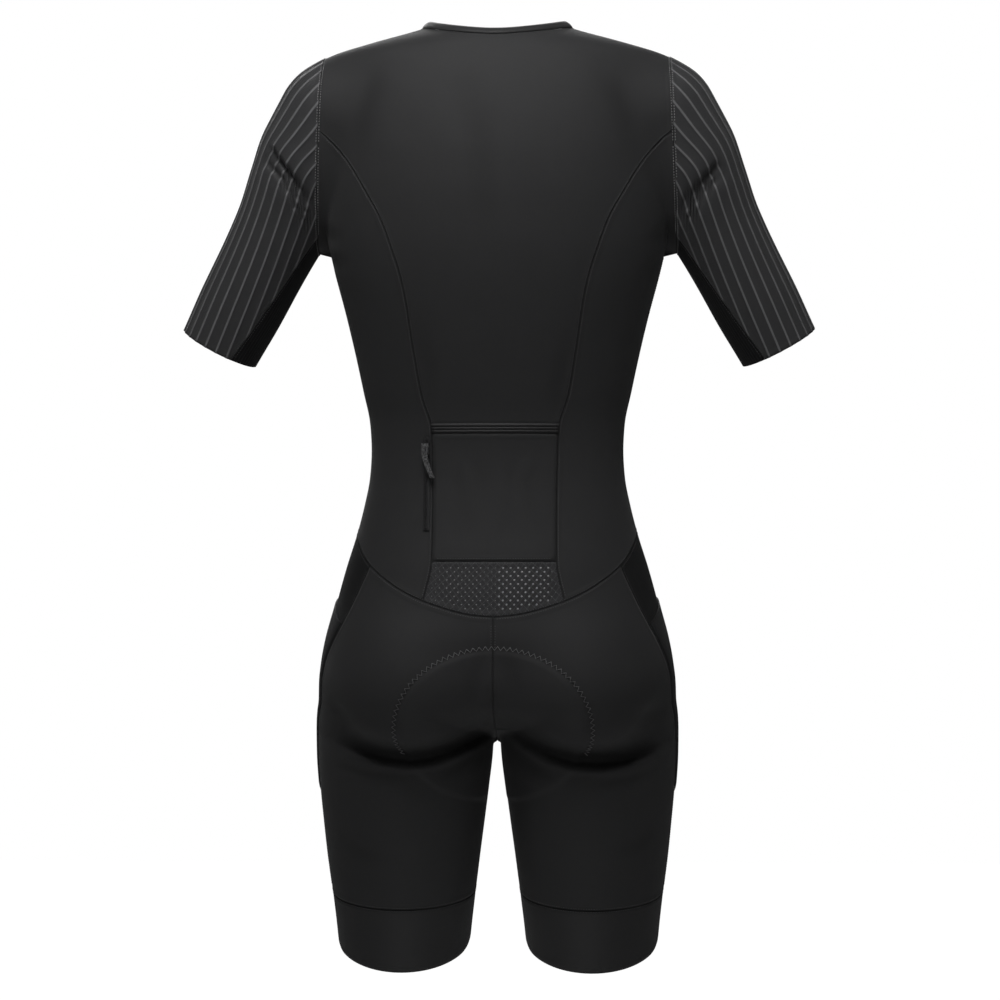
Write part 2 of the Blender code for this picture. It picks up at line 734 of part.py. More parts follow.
def back_panels():
    """The wide centre back, from the lumbar insert to the neck, and the two side backs."""
    seam = princess(np.linspace(INSERT_TOP, PRINCESS_TOP, 13))
    seam[-1] = armhole(np.array(PRINCESS_TURN))
    left = np.concatenate((seam, armhole_stretch(PRINCESS_TURN, SHOULDER_TURN, 8)[1:]))
    shoulder = shoulder_seam(SHOULDER_STEPS)[::-1]
    neck = neck_point(np.linspace(NECK_SIDE, 0, NECK_BACK_STEPS + 1))
    half_top = np.concatenate((shoulder, neck[1:]))
    count = len(half_top)
    half_bottom = behind(np.linspace(seam[0][0], 0, count), np.full(count, INSERT_TOP))
    half_bottom[0] = seam[0]
    top = np.concatenate((half_top, half_top[-2::-1] * MIRROR))
    bottom = np.concatenate((half_bottom, half_bottom[-2::-1] * MIRROR))
    back, inner = thick(patch(bottom, top, left, left * MIRROR))
    wall("back_centre", back, inner, "main")

    corner = waist_point(np.array(INSERT_CORNER))
    foot = princess(np.linspace(corner[2], INSERT_TOP, 3))
    inner_edge = np.concatenate((foot, seam[1:]))
    inner_edge[0] = corner
    share = np.linspace(0, 1, len(inner_edge))
    pit = armhole(np.array(ARMPIT_TURN))
    low = waist_point(np.array(SIDE_TOP))
    turn = SIDE_SEAM_TURN * (1 - share**3)
    side = body_point(turn, low[2] + (pit[2] - low[2]) * share)
    side[0], side[-1] = low, pit
    armpit = armhole_stretch(ARMPIT_TURN, PRINCESS_TURN, 7)
    bottom = waist_stretch(1, 3)[::-1]
    outer, inner = thick(patch(bottom, armpit, side, inner_edge))
    pair("back_side", outer, inner, "main")
    return side, back


def front_panels(side):
    """Left and right fronts, from the zip to the side seam and up over the shoulder."""
    upper = armhole_stretch(ARMPIT_TURN + 2 * math.pi, SHOULDER_TURN, 11)
    outer_edge = np.concatenate((side, upper[1:]))
    neck = neck_point(np.linspace(NECK_END, NECK_SIDE, NECK_FRONT_STEPS + 1))
    top = np.concatenate((neck, shoulder_seam(SHOULDER_STEPS)[1:]))
    bottom = waist_stretch(3, 5)[::-1]
    heights = np.linspace(bottom[0][2], top[0][2], len(outer_edge))
    zip_edge = ahead(np.full(len(heights), ZIP_HALF + SEAM_GAP / 2), heights)
    zip_edge[0], zip_edge[-1] = bottom[0], top[0]
    outer, inner = thick(patch(bottom, top, zip_edge, outer_edge))
    pair("front", outer, inner, "main")
    return zip_edge


def rows_at(grid, heights):
    """The row, as a fraction, at which each column of a panel reaches each height."""
    steps = np.arange(grid.shape[0])
    return np.array([np.interp(heights, column[:, 2], steps) for column in grid.transpose(1, 0, 2)]).T


def over(grid, rows, columns, rise):
    """A layer laid on a panel: points at rows and columns of its grid, moved out."""
    left = np.clip(np.floor(columns).astype(int), 0, grid.shape[1] - 2)
    rows = np.broadcast_to(rows, (len(rows), len(columns)))
    low = np.clip(np.floor(rows).astype(int), 0, grid.shape[0] - 2)
    v, u = (rows - low)[..., None], (columns - left)[None, :, None]
    under = grid[low, left] * (1 - v) + grid[low + 1, left] * v
    after = grid[low, left + 1] * (1 - v) + grid[low + 1, left + 1] * v
    points = under * (1 - u) + after * u
    return points + normals_of(points) * rise


def level_rows(grid, heights, columns):
    """The rows, as fractions, that stand at given heights in each of the given columns."""
    left = np.clip(np.floor(columns).astype(int), 0, grid.shape[1] - 2)
    share = columns - left
    rows = rows_at(grid, heights)
    return rows[:, left] * (1 - share) + rows[:, left + 1] * share


def layer(grid, cloth=CLOTH, relief=0.0):
    """Outer and inner grids of a layer whose under side is the given grid."""
    normal = normals_of(grid)
    return grid + normal * (cloth + relief), grid


def collar():
    """A narrow doubled band round the neck, open at the zip."""
    behind_tip = np.linspace(0, NECK_SIDE, NECK_BACK_STEPS + 1)
    ahead_of_tip = np.linspace(NECK_SIDE, NECK_END, NECK_FRONT_STEPS + 1)
    angles = (*behind_tip, *ahead_of_tip[1:])
    half = neck_point(np.array(angles))
    base = np.concatenate((half[::-1] * MIRROR, half[1:]))
    around = unit(np.gradient(base, axis=0) * np.array((1.0, 1.0, 0.0)))
    outward = np.cross(np.array((0.0, 0.0, 1.0)), around)[None]
    share = np.linspace(0, 1, 4)[:, None, None]
    rise = SEAM_GAP + share * (COLLAR_HEIGHT - SEAM_GAP)
    outer = base + rise * np.array((0.0, 0.0, 1.0)) - COLLAR_LEAN * share**1.5 * outward
    outer = outer + outward * (CLOTH / 3 + 0.0003 * np.sin(math.pi * share))
    outer[:, 0] += np.array((-SEAM_GAP / 2, 0.0, 0.0))
    outer[:, -1] += np.array((SEAM_GAP / 2, 0.0, 0.0))
    wall("collar_band", outer, outer - outward * COLLAR_CLOTH, "band")


def front_zip(zip_edge):
    """The tape of the front zip with its closed coil as a raised middle."""
    share = np.array((-1.0, -0.45, -0.22, 0.22, 0.45, 1.0))
    bottom = waist_point(np.array(180.0))[2]
    top = neck_point(np.array(180.0))[2]
    middle = np.linspace(bottom, top, len(zip_edge))
    rows = []
    for edge, height in zip(zip_edge, middle):
        heights = height + (edge[2] - height) * np.abs(share)
        row = ahead(share * edge[0], heights)
        row[0], row[-1] = edge * MIRROR, edge
        rows.append(row)
    grid = np.array(rows)
    coil = np.array((0.0, 0.0, 1.0, 1.0, 0.0, 0.0)) * ZIP_TOOTH_RISE
    outer, inner = thick(grid, relief=np.broadcast_to(coil, grid.shape[:2]))
    wall("front_zip", outer, inner, "zip")
    return outer[:, 2:4].mean(1)


def pocket_pieces(outer):
    """The pocket on the lower back and its bound top, laid on the back."""
    last = outer.shape[1] - 1
    columns = np.concatenate(([0.35], np.arange(1, last), [last - 0.35]))
    top = level_rows(outer, [BINDING_BOTTOM - SEAM_GAP], columns)
    whole = np.arange(math.floor(top.min() - 0.2) + 1)[:, None] * np.ones((1, len(columns)))
    outside, inside = layer(over(outer, np.concatenate((whole, top)), columns, LAYER_GAP))
    wall("back_pocket", outside, inside, "main")

    share = np.array((0.0, 0.09, 0.25, 0.41, 0.59, 0.75, 0.91, 1.0))
    cord = np.array((0.0, 0.3, 1.0, 0.3, 0.3, 1.0, 0.3, 0.0)) * BINDING_RIDGE
    heights = BINDING_BOTTOM + (POCKET_TOP - BINDING_BOTTOM) * share
    columns = np.concatenate(([0.02], np.arange(1, last), [last - 0.02]))
    rows = level_rows(outer, heights, columns)
    outside, inside = layer(over(outer, rows, columns, LAYER_GAP), BINDING_CLOTH, cord[:, None, None])
    wall("pocket_binding", outside, inside, "band")


def insert():
    """The panel under the pocket, between the two back seams and down to the waist seam."""
    half = waist_point(np.linspace(0, INSERT_CORNER, 6))
    bottom = np.concatenate((half[::-1], half[1:] * MIRROR))
    side = princess(np.linspace(half[-1][2], INSERT_TOP, 4))
    side[0] = half[-1]
    top = behind(np.linspace(side[-1][0], -side[-1][0], 11), np.full(11, INSERT_TOP))
    outer, inner = thick(patch(bottom, top, side, side * MIRROR))
    wall("lumbar_insert", outer, inner, "dotted")


def side_line(edge, heights, corner):
    """An edge of the side panel, ending at its corner on the waist seam."""
    line = leg_point(np.radians(np.interp(heights, *SIDE_LINES[edge])), heights)
    line[-1] = corner
    return line


def stretch_heights(corner, count):
    return np.linspace(LEG_BAND_TOP, leg_place(corner)[1], count + 1)


def band_edge(start, end, count):
    """The seam above the leg band between two angles about the leg."""
    turns = np.linspace(start, end, count)
    return leg_point(turns, np.full(count, LEG_BAND_TOP))


def leg_panels():
    """The seat and back, the side and the front of each leg, between the waist and the band."""
    back_corner = waist_point(np.array(SIDE_BACK_CORNER))
    front_corner = waist_point(np.array(SIDE_FRONT_CORNER))
    lines = [
        side_line(edge, stretch_heights(corner, 14), corner)
        for edge, corner in enumerate((back_corner, front_corner))
    ]
    crotch = centre_point(np.array(math.pi / 2))
    share = np.array((0.0, 0.19, 0.38, 0.56, 0.72, 0.85, 0.93, 1.0))
    inseam_heights = LEG_BAND_TOP + share * (leg_place(crotch)[1] - LEG_BAND_TOP)
    inseam = leg_point(np.full(len(share), math.pi), inseam_heights)
    inseam[-1] = crotch
    seat_end = waist_point(np.array(0.0))
    turn = -math.atan2(seat_end[2] - CENTRE_START, seat_end[1])
    seat = centre_point(np.linspace(math.pi / 2, turn, 8))
    belly_end = waist_point(np.array(180.0))
    turn = math.pi + math.atan2(belly_end[2] - CENTRE_START, -belly_end[1])
    belly = centre_point(np.linspace(math.pi / 2, turn, 8))

    back_turn, front_turn = (math.radians(np.interp(LEG_BAND_TOP, *line)) for line in SIDE_LINES)
    top = waist_stretch(0, 2)[::-1]
    inner = np.concatenate((inseam, seat[1:]))
    inner[-1] = top[-1]
    grid = patch(band_edge(back_turn, math.pi, len(top)), top, lines[0], inner)
    outer, inside = thick(grid, relief=pad_rise(grid))
    pair("short_back", outer, inside, "main")

    top = np.concatenate((waist_stretch(4, 5), [belly_end]))[::-1]
    inner = np.concatenate((inseam, belly[1:]))
    inner[-1] = top[0]
    grid = patch(band_edge(-math.pi, front_turn, len(top)), top, inner, lines[1])
    outer, inside = thick(grid)
    pair("short_front", outer, inside, "main")

    top = waist_stretch(2, 4)[::-1]
    return patch(band_edge(front_turn, back_turn, len(top)), top, lines[1], lines[0])


def side_panels(grid):
    """The panel down the side of each leg and the pocket laid on it."""
    outer, inner = thick(grid)
    pair("short_side", outer, inner, "mesh")
    middle = outer[:, outer.shape[1] // 2, 2]
    last = outer.shape[1] - 1
    columns = np.concatenate(([0.1], np.arange(1, last), [last - 0.1]))
    rows = np.arange(len(middle))
    low, high = (np.interp(z, middle, rows) for z in (SIDE_POCKET_BOTTOM, SIDE_POCKET_TOP))
    kept = rows[(rows > low + 0.2) & (rows < high - 0.2)]
    rows = np.concatenate(([low], kept, [high]))[:, None]
    outside, inside = layer(over(outer, rows, columns, LAYER_GAP))
    pair("side_pocket", outside, inside, "main")


def leg_bands():
    """The gripper band at each hem, one ring."""
    turns = np.linspace(0, 2 * math.pi, 31)
    heights = np.linspace(LEG_BAND_TOP - SEAM_GAP / 2, LEG_HEM, 4)
    grid = leg_point(*np.meshgrid(turns, heights))
    grid[0] += SEAM_GAP / 2 * unit(grid[1] - grid[0])
    normal = normals_of(grid)
    ring("leg_band", grid, grid - normal * BAND_CLOTH, "band")


def ring(stem, outer, inner, slot):
    """A closed band; the last column of the grids repeats the first."""
    for name, way in ((f"{stem}_left", 1), (f"{stem}_right", MIRROR)):
        rows, columns = outer.shape[0], outer.shape[1] - 1
        index = np.arange(rows * columns).reshape(rows, columns)
        count = rows * columns
        faces = []
        for j in range(columns):
            k = (j + 1) % columns
            for i in range(rows - 1):
                a, b, c, d = index[i, j], index[i, k], index[i + 1, k], index[i + 1, j]
                faces += [(a, b, c, d), (count + d, count + c, count + b, count + a)]
            for i, turned in ((0, 1), (rows - 1, -1)):
                a, b = index[i, j], index[i, k]
                faces.append((b, a, count + a, count + b)[::turned])
        points = np.concatenate([(g[:, :-1] * way).reshape(-1, 3) for g in (outer, inner)])
        add_object(name, points, [tuple(int(v) for v in face) for face in faces], slot)


def sleeve_hole():
    """The armhole as distances along the arm, by angle about it."""
    turn, along = arm_place(armhole(np.linspace(-math.pi / 2, 3 * math.pi / 2, 721)[:-1]))
    order = np.argsort(turn)
    turn, along = turn[order], along[order]
    whole = 2 * math.pi
    return (
        np.concatenate((turn - whole, turn, turn + whole)),
        np.concatenate((along, along, along)),
    )


HOLE = sleeve_hole()
RIB_LINE = curve_of(RIB_SPREAD, 1)


def sleeve_place(across, share):
    """Angle and distance of a rib line at a share of the way from armhole to cuff.

    Across is measured round the sleeve from its top line, in metres; lines that would pass an
    underarm seam stay on it.
    """
    across, share = np.broadcast_arrays(across, share)
    distance = share * SLEEVE_LENGTH
    for _ in range(30):
        turn = across / np.interp(distance, *RIB_LINE)
        back, front = (np.radians(np.interp(distance, *line)) for line in UNDERARM_LINES)
        turn = np.clip(turn, front - 2 * math.pi, back)
        start = np.interp(turn, *HOLE)
        distance = start + (SLEEVE_LENGTH - start) * share
    clear = SEAM_CLEAR / np.interp(distance, *RIB_LINE)
    held = (turn > back - clear) | (turn < front - 2 * math.pi + clear)
    return turn, distance, held


def fold_rise(turn, distance, folds):
    """How far the armpit folds push the sleeve in at each place."""
    rise = np.zeros(np.broadcast(turn, distance).shape)
    for near_s, near_turn, far_s, far_turn, depth, half in folds:
        start = np.array((near_s, 0.055 * math.radians(near_turn)))
        end = np.array((far_s, 0.055 * math.radians(far_turn)))
        run = end - start
        offset = np.stack((distance - start[0], 0.055 * turn - start[1]), -1)
        along = np.clip(offset @ run / (run @ run), 0, 1)
        away = np.linalg.norm(offset - along[..., None] * run, axis=-1)
        fade = np.sin(math.pi * np.clip(1 - along, 0.0, 1.0) ** 0.6) ** 0.7
        rise -= depth * fade * np.exp(-((away / half) ** 2))
        rise += 0.3 * depth * fade * np.exp(-(((away - 1.9 * half) / half) ** 2))
    return rise


def sleeves():
    """The ribbed sleeves: raised ribs on the outside, plain inside, cut by the underarm seams."""
    share = np.array(SLEEVE_ROWS)[:, None]
    ribs = np.arange(-RIBS_A_SIDE, RIBS_A_SIDE + 1) * RIB_PITCH
    ends = np.array((-0.5, 0.5))
    offsets = np.array((-RIB_HALF_BASE, 0.0, RIB_HALF_BASE))
    across = (ribs[:, None] + offsets).ravel()
    raised = np.tile((0.0, 1.0, 0.0), len(ribs))
    across = np.concatenate((ends[:1], across, ends[1:]))
    raised = np.concatenate(([0.0], raised, [0.0])) * RIB_RISE
    plain = np.concatenate((ends[:1], ribs, ends[1:]))
    for side, way, folds in (("left", 1, LEFT_FOLDS), ("right", MIRROR, RIGHT_FOLDS)):
        turn, distance, held = sleeve_place(across[None], share)
        outer = arm_point(turn, distance)
        lift = fold_rise(turn, distance, folds) + raised * ~held
        outer = sleeve_wall(outer, lift)
        turn, distance, inner_held = sleeve_place(plain[None], share)
        inner = arm_point(turn, distance)
        inner = sleeve_wall(inner, fold_rise(turn, distance, folds) - CLOTH)
        ribbed_wall(f"sleeve_{side}", outer * way, held, inner * way, inner_held)


def sleeve_wall(grid, lift):
    """A sleeve's grid moved out by lift, with its edges half a seam gap in."""
    edged = grid.copy()
    free = grid[:, grid.shape[1] // 2]
    for column in (0, -1):
        run = unit(np.gradient(grid[:, column], axis=0))
        step = free - grid[:, column]
        edged[:, column] += SEAM_GAP / 2 * unit(step - (step * run).sum(-1, keepdims=True) * run)
    normal, edged = meet_armhole(grid, normals_of(grid), edged, 1)
    return edged + normal * lift[..., None]


def merged_index(held, start):
    """Vertex numbers of a grid whose held columns all stand on the seam at that row."""
    rows, columns = held.shape
    index = start + np.arange(rows * columns).reshape(rows, columns)
    half = columns // 2
    index[:, :half] = np.where(held[:, :half], index[:, :1], index[:, :half])
    index[:, half:] = np.where(held[:, half:], index[:, -1:], index[:, half:])
    return index


def ribbed_wall(name, outer, held, inner, inner_held):
    """A wall whose outer grid has three columns for each column of the inner grid."""
    above_index = merged_index(held, 0)
    under_index = merged_index(inner_held, outer.shape[0] * outer.shape[1])
    faces = []
    for index, turned in ((above_index, 1), (under_index, -1)):
        for i in range(index.shape[0] - 1):
            for j in range(index.shape[1] - 1):
                a, b, c, d = index[i, j], index[i, j + 1], index[i + 1, j + 1], index[i + 1, j]
                faces += [(a, b, c)[::turned], (a, c, d)[::turned]]
    last = index.shape[1] - 1
    for i, turned in ((0, 1), (index.shape[0] - 1, -1)):
        for k in range(last):
            first = 0 if k == 0 else 3 * k - 1
            final = 3 * last - 2 if k + 1 == last else 3 * (k + 1) - 1
            edge = list(above_index[i, first:final + 1])
            low_a, low_b = under_index[i, k], under_index[i, k + 1]
            half = (len(edge) + 1) // 2
            strip = [(b, a, low_a) for a, b in zip(edge[:half], edge[1:half])]
            strip += [(edge[half - 1], low_a, low_b)]
            strip += [(b, a, low_b) for a, b in zip(edge[half - 1:], edge[half:])]
            faces += [face[::turned] for face in strip]
    for j, turned in ((0, 1), (-1, -1)):
        for i in range(index.shape[0] - 1):
            a, b = above_index[i, j], above_index[i + 1, j]
            c, d = under_index[i, j], under_index[i + 1, j]
            faces += [(a, b, d)[::turned], (a, d, c)[::turned]]
    faces = [tuple(int(v) for v in face) for face in faces if len(set(face)) == 3]
    points = np.concatenate((outer.reshape(-1, 3), inner.reshape(-1, 3)))
    used = sorted({v for face in faces for v in face})
    number = {v: k for k, v in enumerate(used)}
    faces = [tuple(number[v] for v in face) for face in faces]
    add_object(name, points[used], faces, "ribbed")


def undersleeves():
    """The plain panels under the arms, between the two underarm seams."""
    share = np.array(SLEEVE_ROWS)
    back_turn, back_distance, _ = sleeve_place(np.full(len(share), 0.5), share)
    front_turn, front_distance, _ = sleeve_place(np.full(len(share), -0.5), share)
    back_edge = arm_point(back_turn, back_distance)
    front_edge = arm_point(front_turn, front_distance)
    turns = np.linspace(back_turn[0], front_turn[0] + 2 * math.pi, 7)
    top = arm_point(turns, np.interp(turns, *HOLE))
    turns = np.linspace(back_turn[-1], front_turn[-1] + 2 * math.pi, 7)
    bottom = arm_point(turns, np.full(7, SLEEVE_LENGTH))
    grid = patch(bottom, top, back_edge[::-1], front_edge[::-1])
    outer, inner = thick(grid, side=1)
    pair("undersleeve", outer, inner, "mesh")


def blocks(name, lines, filled, place, slot, origin=None):
    """A solid of boxes between three sets of lines, placed by a function of the three."""
    counts = [len(line) - 1 for line in lines]

    def solid(cell):
        inside = all(0 <= c < n for c, n in zip(cell, counts))
        return inside and filled(*cell)

    number, faces = {}, []
    for cell in np.ndindex(*counts):
        if not solid(cell):
            continue
        for axis in range(3):
            for end in (0, 1):
                beside = list(cell)
                beside[axis] += 2 * end - 1
                if solid(beside):
                    continue
                first, second = (axis + 1) % 3, (axis + 2) % 3
                face = []
                for a, b in ((0, 0), (1, 0), (1, 1), (0, 1)):
                    corner = list(cell)
                    corner[axis] += end
                    corner[first] += a
                    corner[second] += b
                    face.append(number.setdefault(tuple(corner), len(number)))
                faces.append(tuple(face) if end else tuple(face[::-1]))
    points = [place(*(line[k] for line, k in zip(lines, corner))) for corner in number]
    return add_object(name, points, faces, slot, origin)


def zip_hardware(stem, spot, along, normal, sweep):
    """A slider just above the tape and the pull hanging from it, whose pin is its joint."""
    along = unit(along - (along @ normal) * normal)
    across = np.cross(normal, along)
    base = spot + normal * SLIDER_CLEAR

    def place(u, w, n):
        return base + along * u + across * w + normal * n

    def in_slider(u, w, n):
        return n == 0 or (w == 1 and (u in (1, 3) if n == 1 else 1 <= u <= 3))

    lines = (SLIDER_LINES, SLIDER_WIDTHS, SLIDER_LEVELS)
    blocks(f"{stem}_slider", lines, in_slider, place, "metal")
    steps = np.linspace(PULL_WINDOW_END, PULL_LENGTH, PULL_STEPS + 1)
    lines = (
        (-PULL_BAR, PULL_BAR, *steps),
        PULL_WIDTHS,
        (-PULL_HALF_THICK, PULL_HALF_THICK),
    )

    def place_pull(u, w, n):
        past = max(u - PULL_WINDOW_END, 0) / (PULL_LENGTH - PULL_WINDOW_END)
        taper = 1 - 0.25 * past
        return place(u, w * taper + sweep * past**1.5, PIVOT_LEVEL + n)

    pivot = place(0.0, 0.0, PIVOT_LEVEL)
    blocks(f"{stem}_pull", lines, lambda u, w, n: u != 1 or w != 1, place_pull, "metal", pivot)


def front_hardware(coil):
    heights = coil[:, 2]
    spot = np.array([np.interp(FRONT_SLIDER_HEIGHT, heights, coil[:, k]) for k in range(3)])
    below = np.array([np.interp(FRONT_SLIDER_HEIGHT - 0.02, heights, coil[:, k]) for k in range(3)])
    normal = normals_of(spot)
    zip_hardware("front_zip", spot, below - spot, normal * np.array((0.0, 1.0, 1.0)), FRONT_PULL_SWEEP)


def pocket_zip():
    """The short zip beside the back pocket, on the left, with its slider near the top."""
    heights = np.linspace(POCKET_ZIP_BOTTOM, POCKET_ZIP_TOP, 9)
    share = np.array((-1.0, -0.35, 0.35, 1.0))
    across, up = np.meshgrid(POCKET_ZIP_X + share * POCKET_ZIP_HALF, heights)
    grid = behind(across, up)
    normal = normals_of(grid)
    coil = np.array((0.0, 1.0, 1.0, 0.0)) * ZIP_TOOTH_RISE
    inner = grid + normal * 2.5 * LAYER_GAP
    outer = inner + normal * (CLOTH + coil[None, :, None])
    wall("pocket_zip", outer, inner, "zip")
    spot = behind(np.array(POCKET_ZIP_X), np.array(POCKET_SLIDER_HEIGHT))
    below = behind(np.array(POCKET_ZIP_X), np.array(POCKET_SLIDER_HEIGHT - 0.02))
    normal = normals_of(spot)
    spot = spot + normal * (2.5 * LAYER_GAP + CLOTH + ZIP_TOOTH_RISE)
    zip_hardware("pocket_zip", spot, below - spot, normal, POCKET_PULL_SWEEP)


def main():
    for old in list(bpy.data.objects):
        bpy.data.objects.remove(old)
    side, back = back_panels()
    zip_edge = front_panels(side)
    collar()
    front_hardware(front_zip(zip_edge))
    pocket_pieces(back)
    pocket_zip()
    insert()
    side_panels(leg_panels())
    leg_bands()
    sleeves()
    undersleeves()


main()
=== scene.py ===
import math
from functools import partial

import bpy
import numpy as np
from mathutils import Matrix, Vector


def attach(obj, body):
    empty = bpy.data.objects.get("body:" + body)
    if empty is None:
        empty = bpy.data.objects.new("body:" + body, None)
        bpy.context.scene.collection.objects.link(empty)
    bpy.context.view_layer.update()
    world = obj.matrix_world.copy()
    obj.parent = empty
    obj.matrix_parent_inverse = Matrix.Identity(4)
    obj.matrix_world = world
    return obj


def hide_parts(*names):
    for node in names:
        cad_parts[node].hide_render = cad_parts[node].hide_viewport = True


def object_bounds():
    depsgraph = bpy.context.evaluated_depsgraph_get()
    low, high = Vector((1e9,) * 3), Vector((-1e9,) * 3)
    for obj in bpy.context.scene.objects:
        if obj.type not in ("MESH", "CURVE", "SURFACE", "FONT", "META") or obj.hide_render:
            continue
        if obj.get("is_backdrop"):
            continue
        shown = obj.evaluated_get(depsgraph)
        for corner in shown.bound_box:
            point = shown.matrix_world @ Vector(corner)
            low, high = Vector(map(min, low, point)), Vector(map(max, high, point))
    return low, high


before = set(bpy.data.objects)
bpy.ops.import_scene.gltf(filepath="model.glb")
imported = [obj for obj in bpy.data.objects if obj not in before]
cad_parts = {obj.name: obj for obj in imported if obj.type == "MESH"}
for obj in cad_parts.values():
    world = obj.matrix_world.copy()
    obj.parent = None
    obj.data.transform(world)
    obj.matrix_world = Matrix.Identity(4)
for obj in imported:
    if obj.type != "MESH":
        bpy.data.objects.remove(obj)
cad_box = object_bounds()


# Camera behind the suit, level with its waist: a long lens three metres away, so that the
# 0.95 metres of its height fill the square picture almost without perspective.
VIEW_CENTRE = Vector((-0.0024, 0.0, -0.4215))
VIEW_DISTANCE = 3.0
VIEW_HEIGHT = 0.95
SENSOR_WIDTH = 36
VIEW_AZIMUTH = math.radians(182)
lens = bpy.data.cameras.new("camera")
lens.lens = SENSOR_WIDTH * VIEW_DISTANCE / VIEW_HEIGHT
lens.clip_end = 30
camera = bpy.data.objects.new("camera", lens)
bpy.context.scene.collection.objects.link(camera)
toward = Vector((math.sin(VIEW_AZIMUTH), -math.cos(VIEW_AZIMUTH), 0.0))
camera.location = VIEW_CENTRE + toward * VIEW_DISTANCE
camera.rotation_euler = (-toward).to_track_quat("-Z", "Y").to_euler()
bpy.context.scene.camera = camera


# Centre back: the wide middle panel, from the lumbar panel up to the neck. It is cut from
# smooth circular knit with stretch both ways, and every other panel is measured from the
# same general figure that fills it out.
TORSO_RINGS = (
    # height, half width, front depth, back depth, squareness
    (-0.647, 0.0001, 0.0001, 0.0001, 2.0),
    (-0.643, 0.006, 0.004, 0.006, 2.0),
    (-0.638, 0.055, 0.028, 0.036, 2.0),
    (-0.631, 0.100, 0.050, 0.064, 2.0),
    (-0.621, 0.136, 0.070, 0.090, 2.1),
    (-0.610, 0.156, 0.083, 0.108, 2.2),
    (-0.585, 0.163, 0.091, 0.116, 2.2),
    (-0.555, 0.160, 0.095, 0.116, 2.2),
    (-0.520, 0.1525, 0.097, 0.108, 2.2),
    (-0.485, 0.1430, 0.096, 0.097, 2.2),
    (-0.455, 0.1335, 0.093, 0.086, 2.2),
    (-0.425, 0.1258, 0.089, 0.078, 2.2),
    (-0.400, 0.1210, 0.087, 0.0735, 2.2),
    (-0.375, 0.1195, 0.086, 0.0720, 2.2),
    (-0.350, 0.1208, 0.087, 0.0735, 2.2),
    (-0.320, 0.1270, 0.090, 0.0790, 2.2),
    (-0.285, 0.1345, 0.096, 0.0865, 2.2),
    (-0.245, 0.1440, 0.105, 0.0940, 2.25),
    (-0.205, 0.1545, 0.113, 0.1000, 2.3),
    (-0.175, 0.1610, 0.116, 0.1025, 2.3),
    (-0.140, 0.1650, 0.114, 0.1030, 2.3),
    (-0.105, 0.1660, 0.106, 0.1010, 2.3),
    (-0.070, 0.1655, 0.093, 0.0955, 2.3),
    (-0.040, 0.1640, 0.079, 0.0880, 2.3),
    (-0.020, 0.1620, 0.069, 0.0815, 2.2),
    (-0.008, 0.1585, 0.064, 0.0765, 2.15),
    (0.0020, 0.1500, 0.060, 0.0715, 2.05),
    (0.0067, 0.1368, 0.058, 0.0690, 1.95),
    (0.0114, 0.1215, 0.056, 0.0655, 1.88),
    (0.0160, 0.1050, 0.0545, 0.0605, 1.80),
    (0.0200, 0.0900, 0.0535, 0.0520, 1.78),
    (0.0240, 0.0750, 0.0525, 0.0460, 1.78),
    (0.0280, 0.0630, 0.0515, 0.0425, 1.80),
    (0.0340, 0.0550, 0.0505, 0.0405, 1.9),
    (0.0600, 0.0530, 0.0500, 0.0400, 2.0),
)
LEG_RINGS = (
    # height, centre x, centre y, half width, half depth
    (-0.900, 0.0895, -0.024, 0.0600, 0.0600),
    (-0.870, 0.0895, -0.021, 0.0615, 0.0620),
    (-0.840, 0.0895, -0.018, 0.0632, 0.0645),
    (-0.800, 0.0893, -0.013, 0.0674, 0.0690),
    (-0.765, 0.0893, -0.009, 0.0718, 0.0735),
    (-0.725, 0.0887, -0.005, 0.0765, 0.0785),
    (-0.690, 0.0880, -0.002, 0.0803, 0.0820),
    (-0.660, 0.0872, 0.000, 0.0828, 0.0840),
    (-0.630, 0.0865, 0.002, 0.0835, 0.0840),
    (-0.600, 0.0850, 0.004, 0.0810, 0.0800),
    (-0.560, 0.0830, 0.005, 0.0650, 0.0620),
    (-0.520, 0.0810, 0.005, 0.0250, 0.0250),
)
ARM_RINGS = (
    # distance from the shoulder, half width, half depth
    (-0.010, 0.0555, 0.0545),
    (0.000, 0.0558, 0.0548),
    (0.040, 0.0562, 0.0545),
    (0.080, 0.0505, 0.0510),
    (0.120, 0.0440, 0.0465),
    (0.160, 0.0418, 0.0445),
    (0.200, 0.0410, 0.0435),
    (0.240, 0.0388, 0.0415),
    (0.280, 0.0370, 0.0400),
)
CLOTH = 0.0013
SEAM_GAP = 0.0003
HALF_GAP = SEAM_GAP / 2
SHOULDER = np.array((0.1520, 0.004, -0.0600))
CUFF = np.array((0.2685, -0.030, -0.2765))
SEAT_CENTRE = np.array((0.0800, 0.0300, -0.5960))
SEAT_RADII = np.array((0.0720, 0.0930, 0.0790))
SEAT_BLEND = 0.034
LEG_BLEND = 0.010
ARM_BLEND_TOP = 0.022
ARM_BLEND_UNDER = 0.012
ARM_BLEND_HEIGHTS = (-0.150, -0.060)
TABLE_STEP = 0.001
TABLE_BLUR = 0.004
GRADIENT_STEP = 0.0008
RAY_STEPS = 40
HALVINGS = 24
BODY_REACH = 0.300
LEG_REACH = 0.190
ARM_REACH = 0.110
CENTRE_START = -0.560
ARMHOLE_TOP_X = 0.1630
ARMHOLE_LEAN = -0.0400
ARMHOLE_CENTRE = (0.000, -0.090)
ARMHOLE_RADII = np.linspace(0.02, 0.13, 60)
PRINCESS_TOP = -0.076
